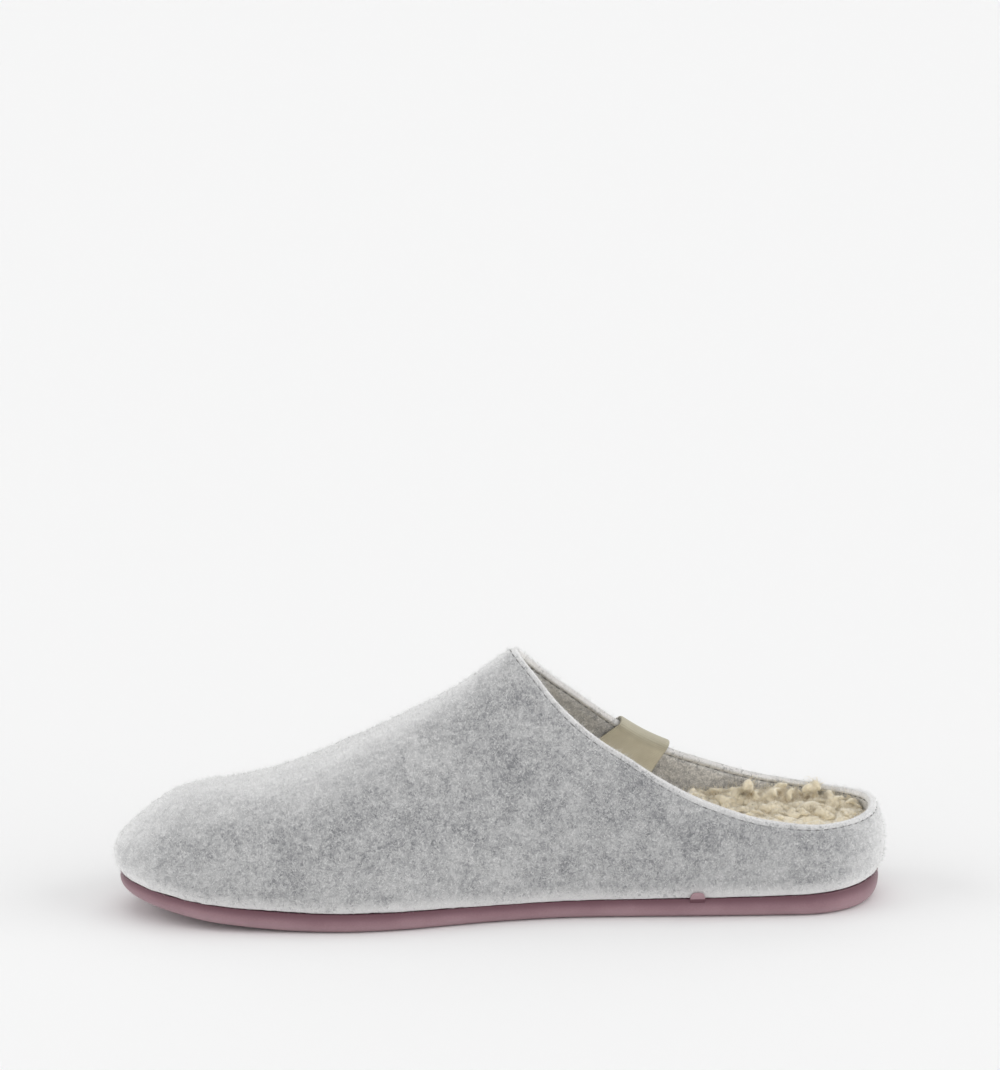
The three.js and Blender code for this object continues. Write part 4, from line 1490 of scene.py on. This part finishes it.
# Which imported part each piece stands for, and its finish in the record.
standIns = [
    (feltShell, "upper", "felt"),
    (feltHairs, "upper", "felt"),
    (feltHairsLow, "upper", "felt"),
    (collarStitches, "upper", "felt"),
    (rubberSole, "outsole", "sole_rubber"),
    (woolBed, "insole", "wool"),
    (woolLocks, "insole", "wool"),
    (woolStrands, "insole", "wool"),
    (woolFuzz, "insole", "wool"),
    (woolNap, "insole", "wool"),
    (tapeTab, "tab", "tape"),
]
for piece, node, finish in standIns:
    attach(piece, "root")
    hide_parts(node)
    print(piece.name, sum(len(face.vertices) - 2 for face in piece.data.polygons), "triangles")
tapeLength = float(runningLength(tapePath((tape["stand"] + tape["standFront"]) / 2))[-1])
print("pieces joined to the frame")

# A pale floor, soft light and the camera.
stage = {
    "floorSize": 30.0,
    "floorColour": (0.885, 0.885, 0.885),
    "skyStrength": 0.37,
    "lamps": (  # name, where it shines from, power
        ("key", (-0.05, 0.05, 1.0), 0.55),
        ("fill", (0.1, 1.0, 0.32), 0.68),
        ("heelSide", (-1.0, 0.3, 0.28), 1.85),
        ("toeSide", (1.0, 0.1, 0.28), 1.6),
        ("back", (0.0, -1.0, 0.6), 0.62),
    ),
    "spread": 70.0,  # degrees across each lamp
}
view = {
    "elevation": 15.0,  # degrees over the floor, seen from the slipper
    "yaw": 3.0,
    "distance": 2.6,
    "target": (0.0, 0.0, 0.04),
    "below": 0.083362,  # metres that the slipper lies under the picture's middle
    "pictureWidth": 0.33854,  # metres across at the slipper
}


def softSun(name, comesFrom, power):
    lamp = bpy.data.lights.new(name, "SUN")
    lamp.energy = power
    lamp.angle = math.radians(stage["spread"])
    holder = showObject(name, lamp)
    holder.rotation_euler = Vector(comesFrom).to_track_quat("Z", "Y").to_euler()
    holder.location = Vector(comesFrom) * 2


def makeStage():
    half = stage["floorSize"] / 2
    corners = [(-half, -half, 0), (half, -half, 0), (half, half, 0), (-half, half, 0)]
    floor = addPiece("floor", corners, [(0, 1, 2, 3)])
    material, board, _ = makeMaterial("floorPale", stage["floorColour"])
    board.finish(board.skin({
        "Base Color": stage["floorColour"], "Roughness": 0.9, "Specular IOR Level": 0.1,
    }))
    floor.data.materials.append(material)
    world = bpy.data.worlds.new("softRoom")
    world.use_nodes = True
    sky = world.node_tree.nodes["Background"].inputs
    sky["Color"].default_value = (1, 1, 1, 1)
    sky["Strength"].default_value = stage["skyStrength"]
    bpy.context.scene.world = world
    bpy.context.scene.view_settings.view_transform = "Standard"
    for name, comesFrom, power in stage["lamps"]:
        softSun(name, comesFrom, power)


def pointing(yaw, up):
    return Vector((math.sin(yaw) * math.cos(up), math.cos(yaw) * math.cos(up), math.sin(up)))


def makeCamera():
    yaw, up = math.radians(view["yaw"]), math.radians(view["elevation"])
    toward = pointing(yaw, up)
    back = pointing(yaw, up - math.atan(view["below"] / view["distance"]))
    right = Vector((-math.cos(yaw), math.sin(yaw), 0))
    above = back.cross(right)
    turned = Matrix((right, above, back)).transposed().to_4x4()
    lens = bpy.data.cameras.new("camera")
    lens.sensor_fit = "HORIZONTAL"
    lens.sensor_width = 36
    lens.lens = 36 * view["distance"] / view["pictureWidth"]
    holder = showObject("camera", lens)
    stand = Vector(view["target"]) + toward * view["distance"]
    holder.matrix_world = Matrix.Translation(stand) @ turned
    bpy.context.scene.camera = holder


makeStage()
makeCamera()
print("stage and camera set")
